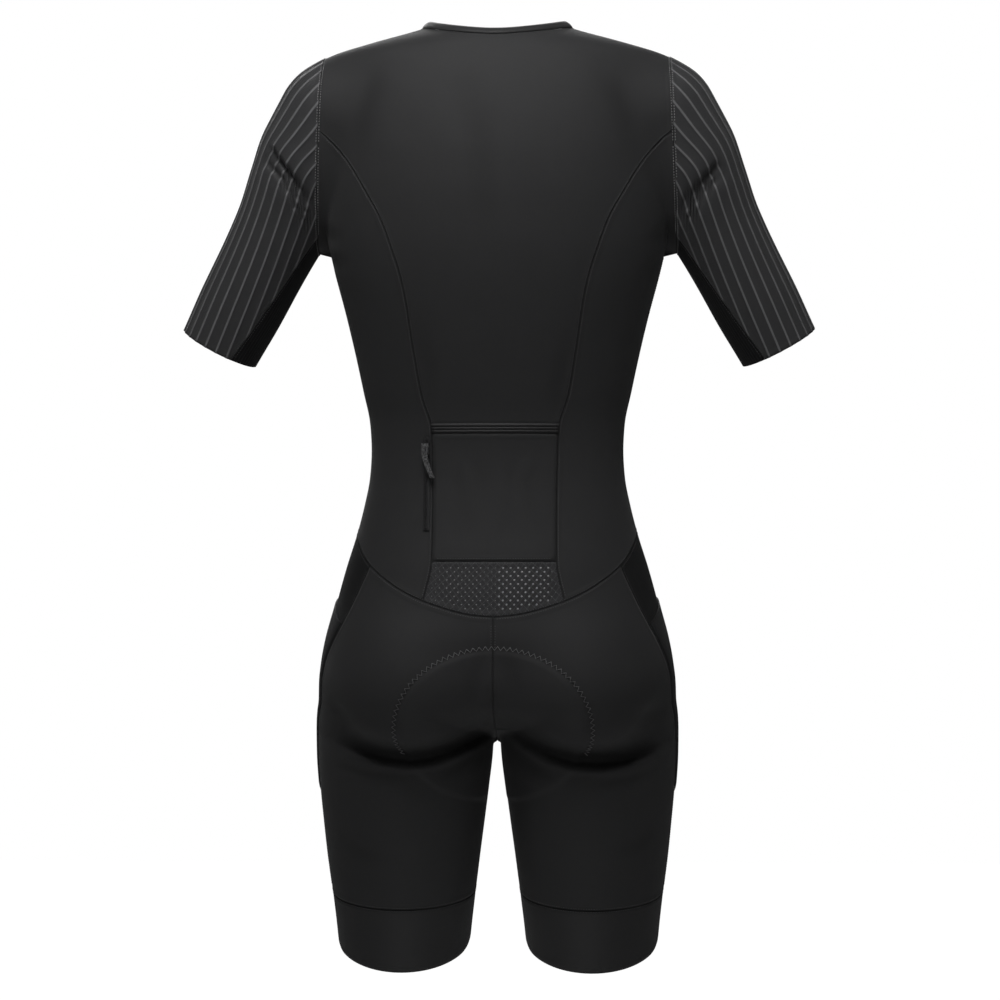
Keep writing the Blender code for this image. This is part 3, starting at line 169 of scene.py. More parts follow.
PRINCESS = (
    # height, distance from the centre back
    (-0.513, 0.0650),
    (-0.478, 0.0578),
    (-0.440, 0.0575),
    (-0.400, 0.0578),
    (-0.356, 0.0590),
    (-0.326, 0.0680),
    (-0.289, 0.0745),
    (-0.225, 0.0845),
    (-0.184, 0.0970),
    (-0.158, 0.1070),
    (-0.137, 0.1190),
    (-0.113, 0.1330),
    (-0.095, 0.1460),
    (-0.076, 0.1650),
)
SHOULDER_SEAM_Y = -0.012
NECK_HALF_WIDTH = 0.0712
NECK_BACK = 0.0640
NECK_FRONT = 0.0760
NECK_BACK_STEPS = 5
NECK_FRONT_STEPS = 8
SHOULDER_STEPS = 3
ZIP_HALF = 0.0060
INSERT_TOP = -0.478
FINE = 5
ACROSS_SIDE = np.array((-1.0, 1.0, 1.0))
SIDES = (("_left", np.ones(3)), ("_right", ACROSS_SIDE))
UP = np.array((0.0, 0.0, 1.0))


def steps(count):
    """Points along an edge that has this many steps in the solid."""
    return count * FINE + 1


def monotone(xs, ys, at):
    """Values at the given places of the smooth curve through a table, with no overshoot."""
    step = np.diff(xs)
    rise = np.diff(ys) / step
    slope = np.zeros(len(xs))
    product = rise[:-1] * rise[1:]
    total = rise[:-1] + rise[1:]
    same = product > 0
    slope[1:-1][same] = 2 * product[same] / total[same]
    slope[0], slope[-1] = rise[0], rise[-1]
    k = np.clip(np.searchsorted(xs, at) - 1, 0, len(step) - 1)
    t = np.clip((at - xs[k]) / step[k], 0, 1)
    start, end = ys[k], ys[k + 1]
    bend = t * t * (3 - 2 * t)
    return (
        start + (end - start) * bend
        + step[k] * (slope[k] * t * (1 - t) ** 2 - slope[k + 1] * t * t * (1 - t))
    )


def curve_of(rows, column, step=TABLE_STEP, blur=TABLE_BLUR):
    """One column of a table as a softened curve of the table's first column."""
    table = np.array(rows, float)
    table = table[np.argsort(table[:, 0])]
    fine = np.arange(table[0, 0], table[-1, 0] + step, step)
    values = monotone(table[:, 0], table[:, column], fine)
    reach_steps = int(round(3 * blur / step))
    weights = np.exp(-0.5 * (np.arange(-reach_steps, reach_steps + 1) * step / blur) ** 2)
    padded = np.pad(values, reach_steps, mode="edge")
    return fine, np.convolve(padded, weights / weights.sum(), mode="valid")


def curves_of(rows, **how):
    return [curve_of(rows, column, **how) for column in range(1, len(rows[0]))]


TORSO = curves_of(TORSO_RINGS)
LEG = curves_of(LEG_RINGS)
ARM = curves_of(ARM_RINGS)
PRINCESS_LINE = curve_of(PRINCESS, 1)
ARM_AXIS = (CUFF - SHOULDER) / np.linalg.norm(CUFF - SHOULDER)
ARM_OUT = np.array((-ARM_AXIS[2], 0.0, ARM_AXIS[0]))
ARM_OUT = ARM_OUT / np.linalg.norm(ARM_OUT)
ARM_BACK = np.cross(ARM_AXIS, ARM_OUT)
ARM_BACK = ARM_BACK * np.sign(ARM_BACK[1])


def ring_distance(across, along, half_across, half_along, squareness=2.0):
    """How far points lie outside a ring, measured from its centre."""
    far = np.maximum(np.hypot(across, along), 1e-7)
    share = (
        (np.abs(across) / half_across) ** squareness + (np.abs(along) / half_along) ** squareness
    ) ** (1 / squareness)
    return far - far / np.maximum(share, far / np.maximum(half_across, half_along))


def smooth_union(a, b, blend):
    near = np.maximum(blend - np.abs(a - b), 0) / blend
    return np.minimum(a, b) - near * near * blend / 4


def torso_distance(x, y, z):
    half, front, back, squareness = (np.interp(z, *line) for line in TORSO)
    past_end = np.maximum(TORSO_RINGS[1][0] - z, 0)
    return ring_distance(x, y, half, np.where(y > 0, back, front), squareness) + past_end


def leg_distance(x, y, z):
    centre_x, centre_y, half, depth = (np.interp(z, *line) for line in LEG)
    past_end = np.maximum(z - LEG_RINGS[-1][0], 0)
    return ring_distance(x - centre_x, y - centre_y, half, depth, 2.1) + past_end


def seat_distance(x, y, z):
    offset = np.stack((x, y, z), -1) - SEAT_CENTRE
    far = np.maximum(np.linalg.norm(offset, axis=-1), 1e-7)
    share = np.linalg.norm(offset / SEAT_RADII, axis=-1)
    return far - far / np.maximum(share, far / SEAT_RADII.max())


def arm_distance(x, y, z):
    offset = np.stack((x, y, z), -1) - SHOULDER
    along = offset @ ARM_AXIS
    past_end = np.minimum(along, 0)
    half, depth = (np.interp(along, *line) for line in ARM)
    out, back = offset @ ARM_OUT, offset @ ARM_BACK
    far = np.maximum(np.sqrt(out**2 + back**2 + past_end**2), 1e-7)
    share = np.sqrt((out / half) ** 2 + (back / depth) ** 2 + (past_end / half) ** 2)
    return far - far / np.maximum(share, far / np.maximum(half, depth))


def form(points):
    """Below zero inside the filled suit, zero on its cloth."""
    x, y, z = np.abs(points[..., 0]), points[..., 1], points[..., 2]
    body = smooth_union(torso_distance(x, y, z), seat_distance(x, y, z), SEAT_BLEND)
    body = smooth_union(body, leg_distance(x, y, z), LEG_BLEND)
    blend = np.interp(z, ARM_BLEND_HEIGHTS, (ARM_BLEND_UNDER, ARM_BLEND_TOP))
    return smooth_union(body, arm_distance(x, y, z), blend)


def leaving(place, marks):
    """The point where each ray first leaves the form; place gives points at a distance."""
    low, high = (np.full(place(mark).shape[:-1], mark) for mark in (marks[0], marks[-1]))
    found = np.zeros(low.shape, bool)
    for near, far in zip(marks[:-1], marks[1:]):
        leaves = ~found & (form(place(far)) > 0)
        low, high = np.where(leaves, near, low), np.where(leaves, far, high)
        found |= leaves
    for _ in range(HALVINGS):
        middle = (low + high) / 2
        outside = form(place(middle)) > 0
        low, high = np.where(outside, low, middle), np.where(outside, middle, high)
    return place((low + high) / 2)


def reach(origin, direction, furthest):
    """The point where straight rays from an origin inside the form first leave it."""
    origin, direction = np.broadcast_arrays(origin, direction)

    def place(distance):
        return origin + np.asarray(distance)[..., None] * direction

    return leaving(place, furthest * np.arange(RAY_STEPS + 1) / RAY_STEPS)


def slopes_of(points):
    """How fast the form's value grows along each axis."""
    axes = GRADIENT_STEP * np.eye(3)
    return np.stack([form(points + a) - form(points - a) for a in axes], -1) / (2 * GRADIENT_STEP)


def unit(vectors):
    return vectors / np.maximum(np.linalg.norm(vectors, axis=-1, keepdims=True), 1e-12)


def normals_of(points):
    """Outward directions of the form at points on it."""
    return unit(slopes_of(points))


def settle(points, rounds=20):
    """Points moved along the form's slope until they lie on it."""
    for _ in range(rounds):
        slope = slopes_of(points)
        steepness = np.maximum((slope**2).sum(-1), 0.25)
        step = slope * (form(points) / steepness)[..., None]
        length = np.linalg.norm(step, axis=-1, keepdims=True)
        points = points - step * np.minimum(1, 0.01 / np.maximum(length, 1e-9))
    return points


def behind(x, z):
    """Cloth of the back at a width and height."""
    origin = np.stack((x, 0 * x, z), -1)
    return reach(origin, np.array((0.0, 1.0, 0.0)), 0.2)


def above(x, y):
    """Cloth of the shoulders at a width and depth."""
    origin = np.stack((x, y, 0 * x - 0.12), -1)
    return reach(origin, UP, 0.25)


def armhole(turn):
    """The armhole at an angle in its own plane: 90 degrees at the top, 0 at the back."""
    y0, z0 = ARMHOLE_CENTRE

    def place(radius):
        z = z0 + radius * np.sin(turn)
        return np.stack((ARMHOLE_TOP_X + ARMHOLE_LEAN * z, y0 + radius * np.cos(turn), z), -1)

    return leaving(place, ARMHOLE_RADII)


def angle_where(value, line, angles):
    """The angle at which a function of the angle reaches a value."""
    values = line(angles)
    order = np.argsort(values)
    return float(np.interp(value, values[order], angles[order]))


BACK_TURNS = np.linspace(-math.pi / 2, math.pi / 2, 361)
PRINCESS_TURN = angle_where(PRINCESS_TOP, lambda t: armhole(t)[:, 2], BACK_TURNS)
SHOULDER_TURN = angle_where(
    -SHOULDER_SEAM_Y, lambda t: -armhole(t)[:, 1], np.linspace(math.pi / 3, 2 * math.pi / 3, 241)
)


def armhole_stretch(start, end, count):
    return armhole(np.linspace(start, end, steps(count)))


def princess(heights):
    return behind(np.interp(heights, *PRINCESS_LINE), heights)


def neck_point(degrees):
    """The seam of the collar band at an angle from the centre back, on the left side."""
    angle = np.radians(degrees)
    depth = np.where(np.cos(angle) > 0, NECK_BACK, NECK_FRONT)
    return above(NECK_HALF_WIDTH * np.sin(angle), depth * np.cos(angle))


def shoulder_seam(count):
    """From the neck out to the armhole, a little in front of the ridge."""
    neck = neck_point(np.array(NECK_SIDE))
    tip = armhole(np.array(SHOULDER_TURN))
    share = np.linspace(0, 1, steps(count))
    x = neck[0] + (tip[0] - neck[0]) * share
    y = neck[1] + (tip[1] - neck[1]) * share
    line = above(x, y)
    line[0], line[-1] = neck, tip
    return line


NECK_SIDE = 90 + math.degrees(math.asin(-SHOULDER_SEAM_Y / NECK_FRONT))


def coons(bottom, top, left, right):
    """A grid of places inside four edges that share their corners; rows run bottom to top."""
    u = np.linspace(0, 1, len(bottom))[None, :, None]
    v = np.linspace(0, 1, len(left))[:, None, None]
    across = (1 - v) * bottom[None] + v * top[None]
    along = (1 - u) * left[:, None] + u * right[:, None]
    corners = (
        (1 - u) * (1 - v) * bottom[0] + u * (1 - v) * bottom[-1]
        + (1 - u) * v * top[0] + u * v * top[-1]
    )
    return across + along - corners


def rim_of(rows, columns):
    """The places round the edge of a grid, in order."""
    around = [(0, j) for j in range(columns - 1)] + [(i, columns - 1) for i in range(rows - 1)]
    around += [(rows - 1, j) for j in range(columns - 1, 0, -1)]
    around += [(i, 0) for i in range(rows - 1, 0, -1)]
    return tuple(np.array(around).T)


def draw_in(grid):
    """The grid with its edge moved in by half a seam gap, square to each stretch of it."""
    rim = rim_of(*grid.shape[:2])
    edge = grid[rim]
    following = np.roll(edge, -1, 0)
    after = unit(np.cross(normals_of((edge + following) / 2), following - edge))
    before = np.roll(after, 1, 0)
    beside = grid[tuple(np.clip(k, 1, n - 2) for k, n in zip(rim, grid.shape))]
    way = np.sign(((before + after) * (beside - edge)).sum())
    mitre = (before + after) / np.maximum(1 + (before * after).sum(-1, keepdims=True), 0.3)
    moved = grid.copy()
    moved[rim] += way * HALF_GAP * mitre
    return moved


def evened(grid, edges, rounds, settling):
    """The grid inside four edges, which it keeps, with its cells evened out on the form."""
    for _ in range(rounds):
        grid[0], grid[-1], grid[:, 0], grid[:, -1] = edges
        middle = (grid[1:-1, :-2] + grid[1:-1, 2:] + grid[:-2, 1:-1] + grid[2:, 1:-1]) / 4
        grid[1:-1, 1:-1] = settle(middle, settling)
    return grid


def from_armhole(points):
    """Signed distance from the plane of the armhole seam, positive on the sleeve's side."""
    across = unit(np.array((1.0, 0.0, -ARMHOLE_LEAN)))
    return points @ across - ARMHOLE_TOP_X * across[0]


def meet_armhole(grid, normal, edged, side):
    """At the armhole, wall directions in its plane and edges half a seam gap from it."""
    across = unit(np.array((1.0, 0.0, -ARMHOLE_LEAN)))
    on_seam = (np.abs(from_armhole(grid)) < SEAM_GAP / 4)[..., None]
    flat = unit(normal - (normal @ across)[..., None] * across)
    square = edged + (side * HALF_GAP - from_armhole(edged))[..., None] * across
    return np.where(on_seam, flat, normal), np.where(on_seam, square, edged)


def between(grid, count=FINE):
    """More points for each row of a grid, on smooth curves through its own points."""
    ends = np.concatenate((2 * grid[:1] - grid[1:2], grid, 2 * grid[-1:] - grid[-2:-1]))
    t = (np.arange(count) / count)[:, None, None, None]
    a, b, c, d = ends[:-3], ends[1:-2], ends[2:-1], ends[3:]
    square, cube = 2 * a - 5 * b + 4 * c - d, 3 * b - a - 3 * c + d
    curve = b + 0.5 * ((c - a) * t + square * t**2 + cube * t**3)
    curve = np.moveaxis(curve, 0, 1).reshape(-1, *grid.shape[1:])
    return np.concatenate((curve, grid[-1:]))


def cloth_grid(bottom, top, left, right):
    """Cloth inside four fine edges, evened out on the figure."""
    edges = (bottom, top, left, right)
    coarse_edges = [edge[::FINE] for edge in edges]
    coarse = evened(settle(coons(*coarse_edges)), coarse_edges, 40, 2)
    grid = between(between(coarse).transpose(1, 0, 2)).transpose(1, 0, 2)
    grid = grid + coons(bottom - grid[0], top - grid[-1], left - grid[:, 0], right - grid[:, -1])
    return evened(settle(grid, 4), edges, 6, 1)


def creased(points, normal, table):
    """How far soft folds push cloth out, below zero where it sinks.

    Each row is a fold: its face, +1 for the back or -1 for the front, its depth and half width
    in metres (or the half widths above and below it), how much its lips rise as a share of its
    depth, and the places x, z it runs through.
    """
    rise = np.zeros(points.shape[:-1])
    flat = points[..., [0, 2]]
    for face, depth, half, lip, places in table:
        places = np.array(places)
        away, along = np.full(rise.shape, 9.0), np.zeros(rise.shape)
        above_it = np.zeros(rise.shape, bool)
        for k, (start, end) in enumerate(zip(places[:-1], places[1:])):
            run = end - start
            share = np.clip((flat - start) @ run / (run @ run), 0, 1)
            far = np.linalg.norm(flat - start - share[..., None] * run, axis=-1)
            along = np.where(far < away, (k + share) / (len(places) - 1), along)
            above_it = np.where(far < away, flat[..., 1] > start[1] + share * run[1], above_it)
            away = np.minimum(far, away)
        if isinstance(half, tuple):
            half = np.where(above_it, *half)
        fade = np.sin(math.pi * np.clip(along, 0.02, 0.98)) ** 0.6
        faced = fade * np.clip(face * normal[..., 1] * 2.5, 0, 1)
        rise -= depth * faced * np.exp(-((away / half) ** 2))
        rise += lip * depth * faced * np.exp(-(((away - 2 * half) / half) ** 2))
    return rise


def arc(grid, axis):
    """Distance along the cloth from the first row or column."""
    step = np.linalg.norm(np.diff(grid, axis=axis), axis=-1)
    start = np.zeros_like(np.take(step, [0], axis))
    return np.concatenate((start, np.cumsum(step, axis)), axis)


def knit_mesh(name, outer, inner, finish, closed=False, drop=None, marks=None):
    """A closed wall of cloth between two grids.

    Its UV map runs along the cloth in metres, and the attribute called edge is the distance
    to the nearest cut edge, for seams that sink and take painted shade; marks are further
    attributes.
    """
    rows, columns = outer.shape[:2]
    count = rows * columns
    index = np.arange(count).reshape(rows, columns) if drop is None else drop
    under = index + count
    a, b, c, d = index[:-1, :-1], index[:-1, 1:], index[1:, 1:], index[1:, :-1]
    skin = np.stack((a, b, c, d), -1).reshape(-1, 4)
    rims = [(index[0], under[0]), (index[-1, ::-1], under[-1, ::-1])]
    if not closed:
        rims += [(index[:, -1], under[:, -1]), (index[::-1, 0], under[::-1, 0])]
    rims = [np.stack((top[1:], top[:-1], low[:-1], low[1:]), -1) for top, low in rims]
    faces = np.concatenate([skin, skin[:, ::-1] + count, *rims])
    points = np.concatenate((outer.reshape(-1, 3), inner.reshape(-1, 3)))
    p, q, r, s = points[faces].transpose(1, 0, 2)
    if ((p * np.cross(q, r)).sum() + (p * np.cross(r, s)).sum()) < 0:
        faces = faces[:, ::-1]
    on_last = closed & (faces % columns == columns - 1)
    joined = np.where(on_last, faces - columns + 1, faces)
    kept, corners = [], []
    for face, own in zip(joined.tolist(), faces.tolist()):
        keep = [k for k in range(4) if face[k] != face[k - 1]]
        if len({face[k] for k in keep}) > 2:
            kept.append([face[k] for k in keep])
            corners += [own[k] for k in keep]
    used = sorted({v for face in kept for v in face})
    number = {v: k for k, v in enumerate(used)}
    mesh = bpy.data.meshes.new(name)
    mesh.from_pydata(points[used].tolist(), [], [[number[v] for v in face] for face in kept])
    across, along = arc(outer, 1), arc(outer, 0)
    place = np.stack((across - across[:, -1:] / 2, along), -1).reshape(-1, 2)
    layout = mesh.uv_layers.new(name="cloth")
    layout.data.foreach_set("uv", np.tile(place, (2, 1))[corners].ravel())
    limits = [along, along[-1:] - along] + ([] if closed else [across, across[:, -1:] - across])
    for label, values in {"edge": np.min(limits, axis=0), **(marks or {})}.items():
        held = mesh.attributes.new(label, "FLOAT", "POINT")
        held.data.foreach_set("value", np.tile(np.asarray(values, float).ravel(), 2)[used])
    mesh.shade_smooth()
    mesh.set_sharp_from_angle(angle=math.radians(50))
    mesh.materials.append(finish)
    made = bpy.data.objects.new(name, mesh)
    bpy.context.scene.collection.objects.link(made)
    return made


CUT_SHARE = 0.93
NARROWEST_CUT = 0.0102


def dress(piece, node, outer):
    """The piece takes its node's place on the suit, and the size of its flat cut is printed."""
    across, along = arc(outer, 1), arc(outer, 0)
    one, two = outer[1:, 1:] - outer[:-1, :-1], outer[1:, :-1] - outer[:-1, 1:]
    area = float(np.linalg.norm(np.cross(one, two), axis=-1).sum() / 2)
    width = max(CUT_SHARE * float(across[:, -1].max()), NARROWEST_CUT)
    length = max(CUT_SHARE * float(along[-1].max()), NARROWEST_CUT)
    area = min(CUT_SHARE**2 * area, width * length)
    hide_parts(node)
    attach(piece, "suit")
    print(f"CUT {node}: {width * 1000:.0f} x {length * 1000:.0f} mm, {area * 1e4:.0f} cm2")


def sew_panel(node, grid, finish, folds=(), relief=0.0, side=-1, mirrored=True):
    """Panels on the left and right, or one in the middle, from one grid; returns the outer grids.

    Inside, each panel laps its neighbour by half a seam gap, as the allowances do, so that no
    light comes through the seams.
    """
    normal, edged = meet_armhole(grid, normals_of(grid), draw_in(grid), side)
    lapped = 2 * grid - edged
    made = []
    for ending, turn in SIDES if mirrored else (("", np.ones(3)),):
        points, out = edged * turn, normal * turn
        rise = creased(points, out, folds)[..., None]
        outer = points + out * (rise + np.asarray(relief)[..., None])
        inner = lapped * turn + out * (rise - CLOTH)
        # painted shade: the fold mark is the share of a crease's depth, and it darkens the colour
        # in the crease
        marks = {"fold": np.clip(-rise[..., 0] / 0.0050, 0, 1)}
        piece = knit_mesh(f"{node}{ending}_cloth", outer, inner, finish, marks=marks)
        dress(piece, node + ending, outer)
        made.append(outer)
    return made


def number_node(tree, operation, *values):
    """One step of arithmetic in a node tree; values are numbers or sockets."""
    made = tree.nodes.new("ShaderNodeMath")
    made.operation = operation
    for socket, value in zip(made.inputs, values):
        if isinstance(value, (int, float)):
            socket.default_value = value
        else:
            tree.links.new(value, socket)
    return made.outputs[0]


def ramp_node(tree, value, low, high, to_low=0.0, to_high=1.0):
    """A smooth change from one number to another as a value goes from low to high."""
    made = tree.nodes.new("ShaderNodeMapRange")
    made.interpolation_type = "SMOOTHSTEP"
    tree.links.new(value, made.inputs["Value"])
    limits = {"From Min": low, "From Max": high, "To Min": to_low, "To Max": to_high}
    for label, number in limits.items():
        if isinstance(number, (int, float)):
            made.inputs[label].default_value = number
        else:
            tree.links.new(number, made.inputs[label])
    return made.outputs["Result"]


def colour_mix(tree, blend, factor, one, two):
    """Two colours mixed or multiplied; each is a colour or a socket. Returns the node."""
    made = tree.nodes.new("ShaderNodeMix")
    made.data_type = "RGBA"
    made.blend_type = blend
    for socket, value in zip((made.inputs[0], made.inputs[6], made.inputs[7]), (factor, one, two)):
        if isinstance(value, bpy.types.NodeSocket):
            tree.links.new(value, socket)
        elif isinstance(value, tuple):
            socket.default_value = (*value, 1)
        else:
            socket.default_value = value
    return made


def new_tree(name, kind, inputs, outputs):
    """An empty node tree with its named sockets, and its input and output nodes.

    Each input has a default number, or the type of a socket without one.
    """
    tree = bpy.data.node_groups.new(name, kind)
    for label, value in inputs.items():
        socket_type = value if isinstance(value, str) else "NodeSocketFloat"
        socket = tree.interface.new_socket(label, in_out="INPUT", socket_type=socket_type)
        if socket_type == "NodeSocketFloat":
            socket.default_value = value
    for label, socket_type in outputs.items():
        tree.interface.new_socket(label, in_out="OUTPUT", socket_type=socket_type)
    return tree, tree.nodes.new("NodeGroupInput"), tree.nodes.new("NodeGroupOutput")


def cloud_node(tree, scale, detail=2.0):
    """Soft noise in the piece's own space."""
    spot, cloud = tree.nodes.new("ShaderNodeTexCoord"), tree.nodes.new("ShaderNodeTexNoise")
    cloud.inputs["Scale"].default_value = scale
    cloud.inputs["Detail"].default_value = detail
    tree.links.new(spot.outputs["Object"], cloud.inputs["Vector"])
    return cloud.outputs["Fac"]


def mark_node(tree, label):
    """A value that the mesh holds at its points."""
    mark = tree.nodes.new("ShaderNodeAttribute")
    mark.attribute_name = label
    return mark.outputs["Fac"]


def cloth_place(tree):
    """Across and along the cloth, in metres."""
    place = tree.nodes.new("ShaderNodeUVMap")
    place.uv_map = "cloth"
    split = tree.nodes.new("ShaderNodeSeparateXYZ")
    tree.links.new(place.outputs["UV"], split.inputs[0])
    return split.outputs[0], split.outputs[1]


def knit_group():
    """Fine jersey: wales and courses, faint mottling, and a seam that sinks at the cut edges; its
    shade carries painted shade in the seams, between the loops and in the folds.
    """
    group, given, result = new_tree(
        "jersey",
        "ShaderNodeTree",
        {
            "Pitch": 0.0010, "Depth": 0.00008, "Mottle": 0.10, "Seam depth": 0.0005,
            "Seam shade": 0.45, "Extra height": 0.0,
        },
        {"Shade": "NodeSocketFloat", "Normal": "NodeSocketVector"},
    )
    given, link = given.outputs, group.links.new
    step, ramp = partial(number_node, group), partial(ramp_node, group)
    u, v = cloth_place(group)
    turn = step("MULTIPLY", step("DIVIDE", u, given["Pitch"]), math.pi)
    wale = step("ABSOLUTE", step("SINE", turn))
    course = step("SINE", step("MULTIPLY", step("DIVIDE", v, given["Pitch"]), 2.6 * math.pi))
    loops = step("MULTIPLY", wale, step("MULTIPLY_ADD", course, 0.3, 0.7))
    cloud, broad = cloud_node(group, 420.0, 3.0), cloud_node(group, 38.0)
    edge = mark_node(group, "edge")
    sunk = ramp(edge, 0.0, 0.0011, 1.0, 0.0)
    lip = step("MULTIPLY", ramp(edge, 0.0008, 0.0022), ramp(edge, 0.0030, 0.0065, 1.0, 0.0))
    relief = step("SUBTRACT", step("MULTIPLY", lip, 0.45), sunk)
    height = step("MULTIPLY", relief, given["Seam depth"])
    height = step("ADD", height, step("MULTIPLY", loops, given["Depth"]))
    height = step("ADD", height, step("MULTIPLY", cloud, 0.00005))
    height = step("ADD", height, given["Extra height"])
    bump = group.nodes.new("ShaderNodeBump")
    bump.inputs["Distance"].default_value = 1.0
    link(height, bump.inputs["Height"])
    link(bump.outputs["Normal"], result.inputs["Normal"])
    fine, wide = step("SUBTRACT", cloud, 0.5), step("SUBTRACT", broad, 0.5)
    change = step("ADD", step("MULTIPLY", fine, 1.6), wide)
    shade = step("MULTIPLY_ADD", change, given["Mottle"], 1.0)
    # painted shade: the colour darkens in the sunken seam at each cut edge, by the seam shade share
    dark = step("SUBTRACT", 1.0, step("MULTIPLY", sunk, given["Seam shade"]))
    # painted shade: the colour darkens in the hollows between the knit loops
    loop_shade = step("MULTIPLY_ADD", loops, 0.18, 0.86)
    # painted shade: the fold mark darkens the colour in the valleys of the creases
    painted_fold_shade = step("MULTIPLY_ADD", mark_node(group, "fold"), -0.88, 1.0)
    for part in (dark, loop_shade, painted_fold_shade):
        shade = step("MULTIPLY", shade, part)
    link(shade, result.inputs["Shade"])
    return group


JERSEY = knit_group()


def new_finish(name, values):
    """A material with its shader's plain values set; returns it, its tree and its shader."""
    finish = bpy.data.materials.new(name)
    finish.use_nodes = True
    shader = finish.node_tree.nodes["Principled BSDF"]
    for label, value in values.items():
        shader.inputs[label].default_value = value
    return finish, finish.node_tree, shader


def cloth_finish(
    name, colour, roughness, sheen, pitch=0.0010, depth=0.00008, seam=0.0005, seam_shade=0.45
):
    """A knit finish; returns the material, its tree, its jersey node and its colour step."""
    values = {"Roughness": roughness, "Sheen Weight": sheen}
    values |= {"Specular IOR Level": 0.12, "Sheen Roughness": 0.45}
    finish, tree, shader = new_finish(name, values)
    knit = tree.nodes.new("ShaderNodeGroup")
    knit.node_tree = JERSEY
    sizes = {"Pitch": pitch, "Depth": depth, "Seam depth": seam, "Seam shade": seam_shade}
    for label, value in sizes.items():
        knit.inputs[label].default_value = value
    tint = colour_mix(tree, "MULTIPLY", 1.0, colour, knit.outputs["Shade"])
    tree.links.new(tint.outputs[2], shader.inputs["Base Color"])
    tree.links.new(knit.outputs["Normal"], shader.inputs["Normal"])
    return finish, tree, knit, tint


def patterned(tree, knit, tint, mask, rise, plain, marked):
    """Where the mask is on, the cloth rises and its colour goes from plain to marked."""
    if rise:
        tree.links.new(number_node(tree, "MULTIPLY", mask, rise), knit.inputs["Extra height"])
    mix = colour_mix(tree, "MIX", mask, plain, marked)
    tree.links.new(mix.outputs[2], tint.inputs[6])


SMOOTH_KNIT = cloth_finish("smooth_stretch_knit", (0.0195, 0.0195, 0.020), 0.66, 0.05)[0]

seam = princess(np.linspace(INSERT_TOP, PRINCESS_TOP, steps(12)))
seam[-1] = armhole(np.array(PRINCESS_TURN))
back_left_edge = np.concatenate((seam, armhole_stretch(PRINCESS_TURN, SHOULDER_TURN, 8)[1:]))
shoulder = shoulder_seam(SHOULDER_STEPS)[::-1]
half_neck = neck_point(np.linspace(NECK_SIDE, 0, steps(NECK_BACK_STEPS)))
half_top = np.concatenate((shoulder, half_neck[1:]))
half_bottom = behind(np.linspace(seam[0][0], 0, len(half_top)), np.full(len(half_top), INSERT_TOP))
half_bottom[0] = seam[0]
back_grid = cloth_grid(
    np.concatenate((half_bottom, half_bottom[-2::-1] * ACROSS_SIDE)),
    np.concatenate((half_top, half_top[-2::-1] * ACROSS_SIDE)),
    back_left_edge,
    back_left_edge * ACROSS_SIDE,
)
BACK_FOLDS = (
    # face, depth, half width, lip, then the places x, z that the fold runs through
    (1, 0.0010, 0.011, 0.5, ((0.105, -0.020), (0.122, -0.062), (0.126, -0.105))),
    (1, 0.0010, 0.012, 0.5, ((-0.100, -0.022), (-0.120, -0.060), (-0.128, -0.110))),
    (1, 0.0007, 0.014, 0.4, ((0.034, -0.020), (0.012, -0.090), (0.004, -0.190))),
    (1, 0.0007, 0.010, 0.3, ((-0.070, -0.270), (-0.058, -0.315), (-0.060, -0.345))),
    (1, 0.0006, 0.009, 0.3, ((0.072, -0.255), (0.060, -0.300), (0.063, -0.340))),
)
back_outer = sew_panel("back_centre", back_grid, SMOOTH_KNIT, BACK_FOLDS, mirrored=False)[0]


# Side backs: narrow panels from the curved back seam to the side seam, up into the armpit and
# down to the waist seam, in the same knit as the centre.
WAIST_SEAM = (
    # degrees from the centre back, height
    (0, -0.5290),
    (12, -0.5270),
    (24, -0.5210),
    (37, -0.5120),
    (50, -0.4990),
    (65, -0.4800),
    (78, -0.4600),
    (90, -0.4500),
    (110, -0.4490),
    (140, -0.4550),
    (180, -0.4640),
)
SIDE_SEAM_TURN = math.radians(-7)
LEG_TILT = ((-0.700, 0.000), (-0.750, 0.080), (-0.7915, 0.190), (-0.8395, 0.430), (-0.900, 0.500))
SIDE_PANEL = (
    # height, back edge and front edge in degrees about the leg
    (-0.800, 5, -42),
    (-0.700, 8, -45),
    (-0.650, 12, -48),
    (-0.600, 20, -52),
    (-0.575, 27, -54),
    (-0.555, 36, -56),
    (-0.535, 43, -57),
    (-0.510, 49, -59),
    (-0.480, 58, -62),
    (-0.440, 66, -66),
)
WAIST_LINE = curve_of(WAIST_SEAM, 1, step=1.0, blur=4.0)
TILT_LINE = curve_of(LEG_TILT, 1)
SIDE_LINES = curves_of(SIDE_PANEL, blur=0.008)


def body_point(turn, height):
    """Cloth at an angle about the torso and a height."""
    origin = np.stack((0 * height, 0 * height, height), -1)
    direction = np.stack((np.cos(turn), np.sin(turn), 0 * turn), -1)
    return reach(origin, direction, BODY_REACH)


def leg_tilt(height):
    return np.interp(height, *TILT_LINE)


def leg_centre(height):
    return np.interp(height, *LEG[0]), np.interp(height, *LEG[1])


def leg_place(points):
    """The angle about the leg and the ring height of points on it."""
    height = points[..., 2]
    for _ in range(8):
        height = points[..., 2] + leg_tilt(height) * (points[..., 1] - leg_centre(height)[1])
    centre_x, centre_y = leg_centre(height)
    turn = np.arctan2(points[..., 1] - centre_y, points[..., 0] - centre_x)
    return np.stack((turn, height), -1)


def waist_point(degrees):
    """The waist seam at an angle from the centre back, on the left side."""
    turn = math.pi / 2 - np.radians(degrees)
    return body_point(turn, np.interp(degrees, *WAIST_LINE))


LOW_TURNS = np.linspace(-2.2, -1.0, 241)
ARMPIT_TURN = float(LOW_TURNS[np.argmin(armhole(LOW_TURNS)[:, 2])])


